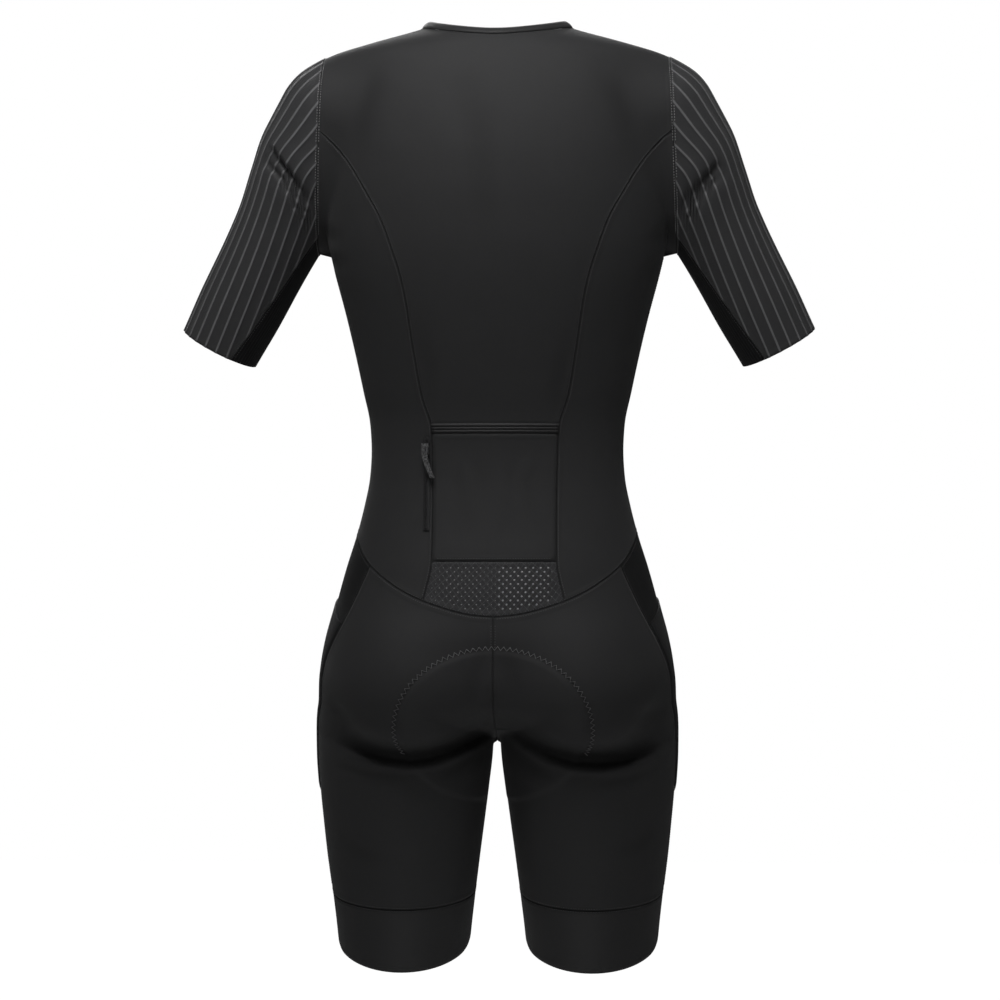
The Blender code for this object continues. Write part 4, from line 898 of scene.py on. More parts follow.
FINE_BACK = np.linspace(0, 90, 181)
INSERT_CORNER = angle_where(PRINCESS[0][1], lambda a: waist_point(a)[:, 0], FINE_BACK[:140])
SIDE_TOP = 90 - math.degrees(SIDE_SEAM_TURN)


def side_panel_gap(degrees, edge):
    """How far the waist seam is from an edge of the side panel, in turns about the leg."""
    place = leg_place(waist_point(degrees))
    return place[:, 0] - np.radians(np.interp(place[:, 1], *SIDE_LINES[edge]))


SIDE_BACK_CORNER = angle_where(0.0, lambda a: -side_panel_gap(a, 0), np.linspace(45, 85, 81))
SIDE_FRONT_CORNER = angle_where(0.0, lambda a: -side_panel_gap(a, 1), np.linspace(95, 165, 141))
ZIP_CORNER = angle_where(
    -(ZIP_HALF + HALF_GAP), lambda a: -waist_point(a)[:, 0], np.linspace(150, 180, 121)
)
WAIST_STEPS = (
    (0.0, INSERT_CORNER, 5),
    (INSERT_CORNER, SIDE_BACK_CORNER, 4),
    (SIDE_BACK_CORNER, SIDE_TOP, 3),
    (SIDE_TOP, SIDE_FRONT_CORNER, 3),
    (SIDE_FRONT_CORNER, ZIP_CORNER, NECK_FRONT_STEPS + SHOULDER_STEPS - 3),
)


def waist_stretch(first, last):
    """The waist seam from the first to the last of its corners."""
    chosen = WAIST_STEPS[first:last]
    angles = [np.linspace(a, b, steps(n))[:-1] for a, b, n in chosen]
    return waist_point(np.append(np.concatenate(angles), chosen[-1][1]))


corner = waist_point(np.array(INSERT_CORNER))
foot = princess(np.linspace(corner[2], INSERT_TOP, steps(2)))
side_inner_edge = np.concatenate((foot, seam[1:]))
side_inner_edge[0] = corner
share = np.linspace(0, 1, len(side_inner_edge))
pit = armhole(np.array(ARMPIT_TURN))
low = waist_point(np.array(SIDE_TOP))
side_edge = body_point(SIDE_SEAM_TURN * (1 - share**3), low[2] + (pit[2] - low[2]) * share)
side_edge[0], side_edge[-1] = low, pit
SIDE_FOLDS = (
    (1, 0.0013, 0.006, 0.6, ((0.171, -0.160), (0.158, -0.175), (0.146, -0.180))),
    (1, 0.0010, 0.005, 0.6, ((0.168, -0.182), (0.155, -0.196), (0.140, -0.205))),
    (1, 0.0012, 0.006, 0.6, ((-0.171, -0.156), (-0.159, -0.172), (-0.147, -0.184))),
    (1, 0.0009, 0.005, 0.6, ((-0.166, -0.186), (-0.153, -0.198), (-0.141, -0.212))),
)
side_top = armhole_stretch(ARMPIT_TURN, PRINCESS_TURN, 7)
side_grid = cloth_grid(waist_stretch(1, 3)[::-1], side_top, side_edge, side_inner_edge)
sew_panel("back_side", side_grid, SMOOTH_KNIT, SIDE_FOLDS)


# Fronts: left and right, from the front zip to the side seam and over the shoulder. They are
# plain, in the same knit.
NECK_END = 180 - math.degrees(math.asin((ZIP_HALF + HALF_GAP) / NECK_HALF_WIDTH))


def ahead(x, z):
    """Cloth of the front at a width and height."""
    origin = np.stack((x, 0 * x, z), -1)
    return reach(origin, np.array((0.0, -1.0, 0.0)), 0.2)


front_armhole = armhole_stretch(ARMPIT_TURN + 2 * math.pi, SHOULDER_TURN, 11)
front_edge = np.concatenate((side_edge, front_armhole[1:]))
front_neck = neck_point(np.linspace(NECK_END, NECK_SIDE, steps(NECK_FRONT_STEPS)))
front_top = np.concatenate((front_neck, shoulder_seam(SHOULDER_STEPS)[1:]))
front_bottom = waist_stretch(3, 5)[::-1]
heights = np.linspace(front_bottom[0][2], front_top[0][2], len(front_edge))
zip_edge = ahead(np.full(len(heights), ZIP_HALF + HALF_GAP), heights)
zip_edge[0], zip_edge[-1] = front_bottom[0], front_top[0]
FRONT_FOLDS = (
    (-1, 0.0012, 0.010, 0.4, ((0.150, -0.150), (0.128, -0.165), (0.108, -0.172))),
    (-1, 0.0012, 0.010, 0.4, ((-0.150, -0.145), (-0.130, -0.163), (-0.112, -0.166))),
    (-1, 0.0010, 0.009, 0.4, ((0.105, -0.395), (0.070, -0.410), (0.030, -0.404))),
    (-1, 0.0010, 0.009, 0.4, ((-0.100, -0.372), (-0.060, -0.386), (-0.024, -0.380))),
)
front_grid = cloth_grid(front_bottom, front_top, zip_edge, front_edge)
sew_panel("front", front_grid, SMOOTH_KNIT, FRONT_FOLDS)


# Collar: a narrow band of smooth elastic knit, folded double and sewn round the neck, with its
# ends at the front zip.
COLLAR_CLOTH = 0.0020
COLLAR_HEIGHT = 0.0066
COLLAR_LEAN = 0.0058
BAND_FINISH = cloth_finish(
    "elastic_band", (0.019, 0.019, 0.0195), 0.52, 0.05, pitch=0.0008, depth=0.00005
)[0]
behind_tip = np.linspace(0, NECK_SIDE, steps(NECK_BACK_STEPS))
angles = np.concatenate((behind_tip, np.linspace(NECK_SIDE, NECK_END, steps(NECK_FRONT_STEPS))[1:]))
half = neck_point(angles)
base = np.concatenate((half[::-1] * ACROSS_SIDE, half[1:]))
around = unit(np.gradient(base, axis=0) * np.array((1.0, 1.0, 0.0)))
outward = np.cross(UP, around)[None]
share = np.linspace(0, 1, 10)[:, None, None]
rise = share * COLLAR_HEIGHT
collar_outer = base + rise * UP - COLLAR_LEAN * share**1.5 * outward
rounding = 0.0008 * (1 - np.sqrt(1 - share**8))
collar_inner = collar_outer + outward * (CLOTH / 3 - COLLAR_CLOTH + rounding)
collar_outer = collar_outer + outward * (CLOTH / 3 + 0.0003 * np.sin(math.pi * share) - rounding)
for grid in (collar_outer, collar_inner):
    grid[:, 0, 0] -= HALF_GAP
    grid[:, -1, 0] += HALF_GAP
collar = knit_mesh("collar_band_cloth", collar_outer, collar_inner, BAND_FINISH)
dress(collar, "collar_band", collar_outer)


# Front zip: woven tape sewn between the two fronts, with a closed coil down its middle.
ZIP_TOOTH_RISE = 0.0012
TAPE_FINISH = cloth_finish(
    "zip_tape", (0.017, 0.017, 0.0175), 0.5, 0.04,
    pitch=0.0007, depth=0.0001, seam=0.0001, seam_shade=0.12,
)[0]
zip_share = np.interp(np.arange(26) / 5, np.arange(6), (-1.0, -0.45, -0.22, 0.22, 0.45, 1.0))
low_end, high_end = waist_point(np.array(180.0))[2], neck_point(np.array(180.0))[2]
middle = np.linspace(low_end, high_end, len(zip_edge))[:, None]
heights = middle + (zip_edge[:, 2:] - middle) * np.abs(zip_share)
tape = ahead(zip_share * zip_edge[:, :1], heights)
tape[:, 0], tape[:, -1] = zip_edge * ACROSS_SIDE, zip_edge
raised = ZIP_TOOTH_RISE * 0.55 * np.clip((0.45 - np.abs(zip_share)) / 0.23, 0, 1)
raised = np.broadcast_to(raised, tape.shape[:2])
tape_outer = sew_panel("front_zip", tape, TAPE_FINISH, relief=raised, mirrored=False)[0]


def mark_of(tree, label, kind):
    """A value held by the points that a tree works on."""
    held = tree.nodes.new("GeometryNodeInputNamedAttribute")
    held.data_type = kind
    held.inputs["Name"].default_value = label
    return next(socket for socket in held.outputs if socket.enabled and socket.name == "Attribute")


def put_out(tree, given, result, geometry):
    """The tree's result: its geometry as real meshes in the given finish."""
    real = tree.nodes.new("GeometryNodeRealizeInstances")
    finish = tree.nodes.new("GeometryNodeSetMaterial")
    tree.links.new(geometry, real.inputs["Geometry"])
    tree.links.new(real.outputs["Geometry"], finish.inputs["Geometry"])
    tree.links.new(given.outputs["Finish"], finish.inputs["Material"])
    tree.links.new(finish.outputs["Geometry"], result.inputs[0])


def zigzag_tree():
    """A thread that swings from side to side along lines: zip coils and zigzag stitches."""
    tree, given, result = new_tree(
        "zigzag thread",
        "GeometryNodeTree",
        {
            "Lines": "NodeSocketGeometry", "Pitch": 0.001, "Swing": 0.001, "Radius": 0.0003,
            "Finish": "NodeSocketMaterial",
        },
        {"Thread": "NodeSocketGeometry"},
    )
    node, link = tree.nodes.new, tree.links.new
    path, spaced = node("GeometryNodeMeshToCurve"), node("GeometryNodeResampleCurve")
    spaced.mode = "LENGTH"
    link(given.outputs["Lines"], path.inputs["Mesh"])
    link(path.outputs["Curve"], spaced.inputs["Curve"])
    link(given.outputs["Pitch"], spaced.inputs["Length"])
    across = node("ShaderNodeVectorMath")
    across.operation = "CROSS_PRODUCT"
    link(mark_of(tree, "up", "FLOAT_VECTOR"), across.inputs[0])
    link(node("GeometryNodeInputTangent").outputs["Tangent"], across.inputs[1])
    side = number_node(tree, "MODULO", node("GeometryNodeInputIndex").outputs["Index"], 2.0)
    side = number_node(tree, "MULTIPLY_ADD", side, 2.0, -1.0)
    swing = number_node(tree, "MULTIPLY", side, given.outputs["Swing"])
    offset = node("ShaderNodeVectorMath")
    offset.operation = "SCALE"
    link(across.outputs[0], offset.inputs[0])
    link(swing, offset.inputs["Scale"])
    swung = node("GeometryNodeSetPosition")
    link(spaced.outputs["Curve"], swung.inputs["Geometry"])
    link(offset.outputs[0], swung.inputs["Offset"])
    ring = node("GeometryNodeCurvePrimitiveCircle")
    ring.inputs["Resolution"].default_value = 5
    link(given.outputs["Radius"], ring.inputs["Radius"])
    tube = node("GeometryNodeCurveToMesh")
    tube.inputs["Fill Caps"].default_value = True
    link(swung.outputs["Geometry"], tube.inputs["Curve"])
    link(ring.outputs["Curve"], tube.inputs["Profile Curve"])
    put_out(tree, given, result, tube.outputs["Mesh"])
    return tree


def grown(name, tree, points, links, vectors, sizes):
    """A plain mesh of what a tree grows on points of the cloth; it rides with the suit."""
    mesh = bpy.data.meshes.new(name + "_lines")
    mesh.from_pydata(points.tolist(), links, [])
    for label, values in vectors.items():
        kind = "FLOAT_VECTOR" if values.ndim == 2 else "FLOAT"
        held = mesh.attributes.new(label, kind, "POINT")
        held.data.foreach_set("vector" if values.ndim == 2 else "value", values.ravel())
    source = bpy.data.objects.new(name + "_lines", mesh)
    bpy.context.scene.collection.objects.link(source)
    grower = source.modifiers.new("grow", "NODES")
    grower.node_group = tree
    for item in tree.interface.items_tree:
        if item.item_type == "SOCKET" and item.name in sizes:
            grower[item.identifier] = sizes[item.name]
    bpy.context.view_layer.update()
    shown = source.evaluated_get(bpy.context.evaluated_depsgraph_get())
    made = bpy.data.objects.new(name, bpy.data.meshes.new_from_object(shown))
    made.data.name = name
    made.data.materials.clear()
    made.data.materials.append(sizes["Finish"])
    made.data.shade_smooth()
    bpy.context.scene.collection.objects.link(made)
    bpy.data.objects.remove(source)
    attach(made, "suit")
    return made


ZIGZAG = zigzag_tree()


def thread_finish(name, colour, roughness):
    """Twisted thread or moulded coil, a little uneven in shade."""
    finish, tree, shader = new_finish(name, {"Roughness": roughness})
    twist = cloud_node(tree, 1500.0)
    tint = colour_mix(tree, "MULTIPLY", 1.0, colour, ramp_node(tree, twist, 0.3, 0.7, 0.7, 1.25))
    tree.links.new(tint.outputs[2], shader.inputs["Base Color"])
    bump = tree.nodes.new("ShaderNodeBump")
    bump.inputs["Distance"].default_value = 0.0001
    tree.links.new(twist, bump.inputs["Height"])
    tree.links.new(bump.outputs["Normal"], shader.inputs["Normal"])
    return finish


def zigzag(name, line, pitch, swing, radius, lift, finish):
    """Zigzag thread along a line of points on the cloth."""
    up = normals_of(line)
    links = [(k, k + 1) for k in range(len(line) - 1)]
    sizes = {"Pitch": pitch, "Swing": swing, "Radius": radius, "Finish": finish}
    return grown(name, ZIGZAG, line + up * lift, links, {"up": up}, sizes)


COIL = thread_finish("nylon_coil", (0.017, 0.017, 0.018), 0.42)
coil_line = tape_outer[3:-3, 13:14].mean(1)
zigzag("front_zip_teeth", coil_line, 0.0007, 0.0016, 0.00042, 0.0002, COIL)


# Zip sliders and pulls: small die castings in dark nickel; the pulls hang on the sliders and
# keep their own solids, with their corners eased.
METAL, tree, shader = new_finish("dark_nickel", {"Metallic": 1.0})
cloud = cloud_node(tree, 900.0)
tree.links.new(ramp_node(tree, cloud, 0.3, 0.7, 0.18, 0.34), shader.inputs["Roughness"])
tint = colour_mix(tree, "MIX", cloud, (0.42, 0.42, 0.43), (0.60, 0.60, 0.61))
tree.links.new(tint.outputs[2], shader.inputs["Base Color"])
for node in ("front_zip_slider", "front_zip_pull", "pocket_zip_slider", "pocket_zip_pull"):
    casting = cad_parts[node]
    for socket in casting.material_slots:
        socket.material = METAL
    easing = casting.modifiers.new("eased corners", "BEVEL")
    easing.width = 0.00025
    easing.segments = 2
    easing.limit_method = "ANGLE"
    easing.angle_limit = math.radians(30)


# Back pocket: one layer of the same knit over the lower back, caught in the two curved seams
# and the seam below it, and open at the top.
LAYER_GAP = 0.0003
BINDING_BOTTOM = -0.3595
PRESSED_EDGE = 0.0030


def rows_at(grid, heights):
    """The row, as a fraction, at which each column of a panel reaches each height."""
    numbers, columns = np.arange(grid.shape[0]), grid.transpose(1, 0, 2)
    return np.array([np.interp(heights, column[:, 2], numbers) for column in columns]).T


def over(grid, rows, columns, rise):
    """A layer laid on a panel: points at rows and columns of its grid, moved out."""
    left = np.clip(np.floor(columns).astype(int), 0, grid.shape[1] - 2)
    rows = np.broadcast_to(rows, (len(rows), len(columns)))
    low = np.clip(np.floor(rows).astype(int), 0, grid.shape[0] - 2)
    v, u = (rows - low)[..., None], (columns - left)[None, :, None]
    under = grid[low, left] * (1 - v) + grid[low + 1, left] * v
    after = grid[low, left + 1] * (1 - v) + grid[low + 1, left + 1] * v
    points = under * (1 - u) + after * u
    return points + normals_of(points) * rise


def level_rows(grid, heights, columns):
    """The rows, as fractions, that stand at given heights in each of the given columns."""
    left = np.clip(np.floor(columns).astype(int), 0, grid.shape[1] - 2)
    share = columns - left
    rows = rows_at(grid, heights)
    return rows[:, left] * (1 - share) + rows[:, left + 1] * share


def lay_on(node, under, finish, cloth=CLOTH, relief=0.0, folds=(), sewn_foot=True):
    """A layer whose under side is the given grid, pressed thin where it is sewn down."""
    normal = normals_of(under)
    across, along = arc(under, 1), arc(under, 0)
    sewn = [across, across[:, -1:] - across] + ([along] if sewn_foot else [])
    cloth = cloth * np.clip(np.min(sewn, axis=0) / PRESSED_EDGE, 0.15, 1.0)
    rise = np.asarray(relief) + np.maximum(creased(under, normal, folds), -0.7 * cloth)
    outer = under + normal * (cloth + rise)[..., None]
    dress(knit_mesh(f"{node}_cloth", outer, under, finish), node, outer)
    return outer


def inner_columns(grid, edge):
    """The columns of a panel, with the outer two drawn in by a share of a step in the solid."""
    last = grid.shape[1] - 1
    return np.concatenate(([edge * FINE], np.arange(1, last), [last - edge * FINE]))


POCKET_FOLDS = (
    (1, -0.0008, 0.006, 0.4, ((0.030, -0.385), (0.024, -0.410), (0.026, -0.440))),
    (1, -0.0007, 0.005, 0.4, ((-0.034, -0.380), (-0.026, -0.402), (-0.030, -0.428))),
    (1, -0.0007, 0.007, 0.3, ((0.002, -0.400), (-0.004, -0.430), (0.001, -0.462))),
)
columns = inner_columns(back_outer, 0.06)
top = level_rows(back_outer, [BINDING_BOTTOM - SEAM_GAP], columns)
whole = np.arange(math.floor(top.min() - 0.3) + 1)[:, None] * np.ones((1, len(columns)))
under = over(back_outer, np.concatenate((whole, top)), columns, LAYER_GAP)
lay_on("back_pocket", under, SMOOTH_KNIT, folds=POCKET_FOLDS)


# Pocket binding: an elastic tape folded over the pocket's top edge, with three raised cords.
POCKET_TOP = -0.350
BINDING_CLOTH = 0.0015
BINDING_RIDGE = 0.0010
share = np.linspace(0, 1, 34)
cords = sum(np.exp(-(((share - centre) / 0.075) ** 2)) for centre in (0.2, 0.5, 0.8))
heights = BINDING_BOTTOM + (POCKET_TOP - BINDING_BOTTOM) * share
columns = inner_columns(back_outer, 0.02)
under = over(back_outer, level_rows(back_outer, heights, columns), columns, LAYER_GAP)
lift = np.broadcast_to((cords * BINDING_RIDGE)[:, None], under.shape[:2])
lay_on("pocket_binding", under, BAND_FINISH, BINDING_CLOTH * 0.8, lift, sewn_foot=False)


# Pocket zip: a short zip down the left side of the pocket, set on the seam, its coil closed.
POCKET_ZIP_X = 0.0632
POCKET_ZIP_HALF = 0.0032
POCKET_ZIP_TOP = -0.3625
POCKET_ZIP_BOTTOM = -0.4500
heights = np.linspace(POCKET_ZIP_BOTTOM, POCKET_ZIP_TOP, steps(8))
share = np.interp(np.arange(19) / 6, np.arange(4), (-1.0, -0.35, 0.35, 1.0))
under = behind(*np.meshgrid(POCKET_ZIP_X + share * POCKET_ZIP_HALF, heights))
under = under + normals_of(under) * 2.5 * LAYER_GAP
raised = ZIP_TOOTH_RISE * 0.5 * np.clip((0.45 - np.abs(share)) / 0.12, 0, 1)
lift = np.broadcast_to(raised, under.shape[:2])
pocket_tape = lay_on("pocket_zip", under, TAPE_FINISH, relief=lift * 0.6)
zigzag("pocket_zip_teeth", pocket_tape[1:-1, 9], 0.0006, 0.0009, 0.00036, 0.0001, COIL)


# Lumbar panel: firmer knit under the pocket, with a lattice of raised lines and printed dots.
INSERT_FINISH, tree, knit, tint = cloth_finish("lattice_knit", (0.020, 0.020, 0.021), 0.5, 0.06)
LATTICE_ACROSS, LATTICE_UP = 0.0069, 0.0078
DOT_MARGIN = 0.0045
u, v = cloth_place(tree)
step = partial(number_node, tree)
lines = []
for way in (1.0, -1.0):
    run = step("MULTIPLY_ADD", v, way / LATTICE_UP, step("DIVIDE", u, LATTICE_ACROSS))
    wave = step("ABSOLUTE", step("SINE", step("MULTIPLY", run, math.pi)))
    lines.append(ramp_node(tree, wave, 0.0, 0.30, 1.0, 0.0))
web = step("MAXIMUM", *lines)
patterned(tree, knit, tint, web, 0.00012, (0.018, 0.018, 0.019), (0.040, 0.040, 0.042))
half = waist_point(np.linspace(0, INSERT_CORNER, steps(5)))
side = princess(np.linspace(half[-1][2], INSERT_TOP, steps(3)))
side[0] = half[-1]
top = behind(np.linspace(side[-1][0], -side[-1][0], steps(10)), np.full(steps(10), INSERT_TOP))
insert_grid = cloth_grid(
    np.concatenate((half[::-1], half[1:] * ACROSS_SIDE)), top, side, side * ACROSS_SIDE
)
insert_outer = sew_panel("lumbar_insert", insert_grid, INSERT_FINISH, mirrored=False)[0]


def bead_tree():
    """Small rounded beads on points of the cloth, laid along the thread: stitches and dots."""
    inputs = {"Points": "NodeSocketGeometry", "Length": 0.001, "Width": 0.001, "Height": 0.001}
    inputs["Finish"] = "NodeSocketMaterial"
    outputs = {"Beads": "NodeSocketGeometry"}
    tree, given, result = new_tree("beads on cloth", "GeometryNodeTree", inputs, outputs)
    node, link = tree.nodes.new, tree.links.new
    turn = None
    for label, axis in (("up", "Z"), ("lay", "X")):
        turned = node("FunctionNodeAlignRotationToVector")
        turned.axis = axis
        turned.pivot_axis = "AUTO" if turn is None else "Z"
        link(mark_of(tree, label, "FLOAT_VECTOR"), turned.inputs["Vector"])
        if turn is not None:
            link(turn, turned.inputs["Rotation"])
        turn = turned.outputs["Rotation"]
    share = mark_of(tree, "share", "FLOAT")
    size = node("ShaderNodeCombineXYZ")
    for label, axis in (("Length", "X"), ("Width", "Y"), ("Height", "Z")):
        part = number_node(tree, "MULTIPLY", given.outputs[label], share)
        link(part, size.inputs[axis])
    bead = node("GeometryNodeMeshUVSphere")
    bead.inputs["Segments"].default_value = 6
    bead.inputs["Rings"].default_value = 4
    bead.inputs["Radius"].default_value = 0.5
    placed = node("GeometryNodeInstanceOnPoints")
    link(given.outputs["Points"], placed.inputs["Points"])
    link(bead.outputs["Mesh"], placed.inputs["Instance"])
    link(turn, placed.inputs["Rotation"])
    link(size.outputs["Vector"], placed.inputs["Scale"])
    put_out(tree, given, result, placed.outputs["Instances"])
    return tree


BEADS = bead_tree()


def beads(name, points, lay, size, lift, finish, share=None):
    """Beads at points on the cloth, lying along lay; share makes some of them smaller."""
    up = normals_of(points)
    sizes = dict(zip(("Length", "Width", "Height"), size), Finish=finish)
    scale = np.ones(len(points)) if share is None else share
    marks = {"up": up, "lay": lay, "share": scale}
    return grown(name, BEADS, points + up * lift, [], marks, sizes)


DOTS = thread_finish("printed_dots", (0.20, 0.20, 0.205), 0.35)
dots, sheen_sizes = [], []
insert_low = insert_outer[0][::-1]
centre_column = insert_outer.shape[1] // 2
insert_tall = arc(insert_outer, 0)[:, centre_column]
for row in range(2, 17):
    height = row * LATTICE_UP / 2
    if height > insert_tall[-1] - 0.004:
        continue
    line_z = np.interp(height, insert_tall, insert_outer[:, centre_column, 2])
    offset = 0.25 if row % 2 else 0.75
    for column in range(-9, 9):
        x = (column + offset) * LATTICE_ACROSS
        edge_x = float(np.interp(line_z, *PRINCESS_LINE)) - DOT_MARGIN
        low_z = float(np.interp(x, insert_low[:, 0], insert_low[:, 2])) + DOT_MARGIN
        if abs(x) < edge_x and line_z > low_z:
            dots.append((x, line_z))
            # painted sheen: the pale dots are largest on the right patch and smaller on the left
            # patch, so the print paints the sheen there
            right_patch, left_patch = -0.053 < x < -0.005, 0.011 < x < 0.046
            sheen_sizes.append(1.0 if right_patch else 0.62 if left_patch else 0.38)
slanted = np.tile((1.0, 0.0, -0.8), (len(dots), 1))
DOT_SIZE = (0.0021, 0.0017, 0.0005)
dot_points = behind(*np.array(dots).T)
beads("lumbar_dots", dot_points, slanted, DOT_SIZE, 0.0, DOTS, np.array(sheen_sizes))


# Seat and backs of the legs: one panel each side, joined down the middle, lifted over the
# sewn-in pad and gathered softly under it.
LEG_BAND_TOP = -0.7915
PAD_CENTRE_Z = -0.6320
PAD_HALF_WIDTH = 0.0910
PAD_HALF_HEIGHT = 0.0750
PAD_RISE = 0.0018
PAD_EDGE = 0.09
PAD_START = 0.020


def leg_point(turn, height):
    """Cloth at an angle about the left leg, on rings that tilt down at the back near the hem."""
    centre_x, centre_y = leg_centre(height)
    origin = np.stack((centre_x, centre_y, height), -1)
    direction = np.stack((np.cos(turn), np.sin(turn), -leg_tilt(height) * np.sin(turn)), -1)
    points = reach(origin, direction, LEG_REACH)
    past = points[..., 0] < 0
    share = centre_x / np.maximum(centre_x - points[..., 0], 1e-9)
    at_middle = origin + (points - origin) * share[..., None]
    return np.where(past[..., None], at_middle, points)


def centre_point(turn):
    """The middle seam of the shorts at an angle below the horizontal, from back to front."""
    origin = np.stack((0 * turn, 0 * turn, 0 * turn + CENTRE_START), -1)
    direction = np.stack((0 * turn, np.cos(turn), -np.sin(turn)), -1)
    return reach(origin, direction, 0.2)


def pad_rise(points):
    """How far the pad lifts the seat cloth."""
    across = points[..., 0] / PAD_HALF_WIDTH
    up = (points[..., 2] - PAD_CENTRE_Z) / PAD_HALF_HEIGHT
    inside = (1 - np.hypot(across, up)) / PAD_EDGE
    share = np.clip(inside, 0, 1)
    behind_seam = np.clip(points[..., 1] / PAD_START, 0, 1)
    return PAD_RISE * share * share * (3 - 2 * share) * behind_seam


def side_line(edge, heights, corner):
    """An edge of the side panel, ending at its corner on the waist seam."""
    line = leg_point(np.radians(np.interp(heights, *SIDE_LINES[edge])), heights)
    line[-1] = corner
    return line


def band_edge(start, end, count):
    """The seam above the leg band between two angles about the leg."""
    turns = np.linspace(start, end, count)
    return leg_point(turns, np.full(count, LEG_BAND_TOP))


back_corner = waist_point(np.array(SIDE_BACK_CORNER))
front_corner = waist_point(np.array(SIDE_FRONT_CORNER))
panel_sides = []
for edge, corner in enumerate((back_corner, front_corner)):
    heights = np.linspace(LEG_BAND_TOP, leg_place(corner)[1], steps(14))
    panel_sides.append(side_line(edge, heights, corner))
crotch = centre_point(np.array(math.pi / 2))
share = (0.0, 0.19, 0.38, 0.56, 0.72, 0.85, 0.93, 1.0)
share = np.interp(np.arange(steps(7)) / FINE, np.arange(8), share)
heights = LEG_BAND_TOP + share * (leg_place(crotch)[1] - LEG_BAND_TOP)
inseam = leg_point(np.full(len(share), math.pi), heights)
inseam[-1] = crotch
seat_end = waist_point(np.array(0.0))
turn = -math.atan2(seat_end[2] - CENTRE_START, seat_end[1])
seat = centre_point(np.linspace(math.pi / 2, turn, steps(7)))
back_turn, front_turn = (math.radians(np.interp(LEG_BAND_TOP, *line)) for line in SIDE_LINES)
top = waist_stretch(0, 2)[::-1]
inner_edge = np.concatenate((inseam, seat[1:]))
inner_edge[-1] = top[-1]
seat_grid = cloth_grid(band_edge(back_turn, math.pi, len(top)), top, panel_sides[0], inner_edge)
seat_grid = between(between(seat_grid, 3).transpose(1, 0, 2), 2).transpose(1, 0, 2)
seat_grid[1:-1, 1:-1] = settle(seat_grid[1:-1, 1:-1], 3)
SEAT_FOLDS = (
    (1, 0.0066, (0.0135, 0.0034), 0.10, (
        (0.1511, -0.6450), (0.1307, -0.6533), (0.1018, -0.6616), (0.0784, -0.6643),
        (0.0578, -0.6616), (0.0350, -0.6542), (0.0160, -0.6450), (0.0030, -0.6340),
    )),
    (1, 0.0066, (0.0135, 0.0034), 0.10, (
        (-0.1558, -0.6469), (-0.1466, -0.6542), (-0.1237, -0.6634), (-0.0998, -0.6662),
        (-0.0741, -0.6653), (-0.0529, -0.6588), (-0.0300, -0.6469), (-0.0134, -0.6340),
    )),
    (1, 0.0010, 0.005, 0.5, ((0.150, -0.668), (0.120, -0.676), (0.088, -0.677))),
    (1, 0.0009, 0.005, 0.5, ((-0.154, -0.672), (-0.124, -0.681), (-0.096, -0.683))),
    (1, 0.0009, 0.006, 0.5, ((0.052, -0.677), (0.034, -0.668), (0.020, -0.656))),
    (1, 0.0009, 0.006, 0.5, ((-0.056, -0.679), (-0.036, -0.669), (-0.022, -0.656))),
    (1, 0.0008, 0.009, 0.3, ((0.006, -0.560), (0.020, -0.585), (0.022, -0.612))),
    (1, 0.0008, 0.010, 0.3, ((-0.007, -0.555), (-0.018, -0.580), (-0.024, -0.600))),
    (1, 0.0007, 0.008, 0.3, ((0.145, -0.735), (0.128, -0.752), (0.105, -0.757))),
    (1, 0.0007, 0.008, 0.3, ((-0.150, -0.728), (-0.131, -0.744), (-0.114, -0.748))),
)
sew_panel("short_back", seat_grid, SMOOTH_KNIT, SEAT_FOLDS, pad_rise(seat_grid))


# Fronts of the legs: plain panels of the same knit, hidden in the photograph.
belly_end = waist_point(np.array(180.0))
turn = math.pi + math.atan2(belly_end[2] - CENTRE_START, -belly_end[1])
belly = centre_point(np.linspace(math.pi / 2, turn, steps(7)))
top = waist_stretch(4, 5)
top = np.concatenate((top[:-1], np.linspace(top[-1], belly_end, FINE + 1)))[::-1]
top[: FINE + 1] = waist_point(np.linspace(180.0, ZIP_CORNER, FINE + 1))
inner_edge = np.concatenate((inseam, belly[1:]))
inner_edge[-1] = top[0]
thigh_grid = cloth_grid(band_edge(-math.pi, front_turn, len(top)), top, inner_edge, panel_sides[1])
THIGH_FOLDS = (
    (-1, 0.0016, 0.007, 0.5, ((0.135, -0.560), (0.095, -0.592), (0.050, -0.622))),
    (-1, 0.0014, 0.006, 0.5, ((0.130, -0.592), (0.100, -0.610), (0.066, -0.634))),
    (-1, 0.0016, 0.007, 0.5, ((-0.135, -0.556), (-0.098, -0.588), (-0.052, -0.625))),
    (-1, 0.0014, 0.006, 0.5, ((-0.128, -0.588), (-0.098, -0.612), (-0.070, -0.632))),
)
sew_panel("short_front", thigh_grid, SMOOTH_KNIT, THIGH_FOLDS)


# Sides of the legs: open warp knit from the waist to the leg band.
MESH_FINISH, tree, knit, tint = cloth_finish("open_mesh_knit", (0.007, 0.007, 0.0075), 0.7, 0.02)
u, v = cloth_place(tree)
step = partial(number_node, tree)
holes = []
for across, up in ((0.0, 0.0), (0.5, 0.5)):
    waves = []
    for value, pitch, shift in ((u, 0.0018, across), (v, 0.0024, up)):
        turn = step("MULTIPLY_ADD", value, 2 * math.pi / pitch, 2 * math.pi * shift)
        waves.append(step("COSINE", turn))
    holes.append(step("ADD", *waves))
hole = ramp_node(tree, step("MAXIMUM", *holes), 0.9, 1.3)
patterned(tree, knit, tint, hole, -0.00018, (0.009, 0.009, 0.0095), (0.002, 0.002, 0.002))
top = waist_stretch(2, 4)[::-1]
bottom = band_edge(front_turn, back_turn, len(top))
flank_grid = cloth_grid(bottom, top, panel_sides[1], panel_sides[0])
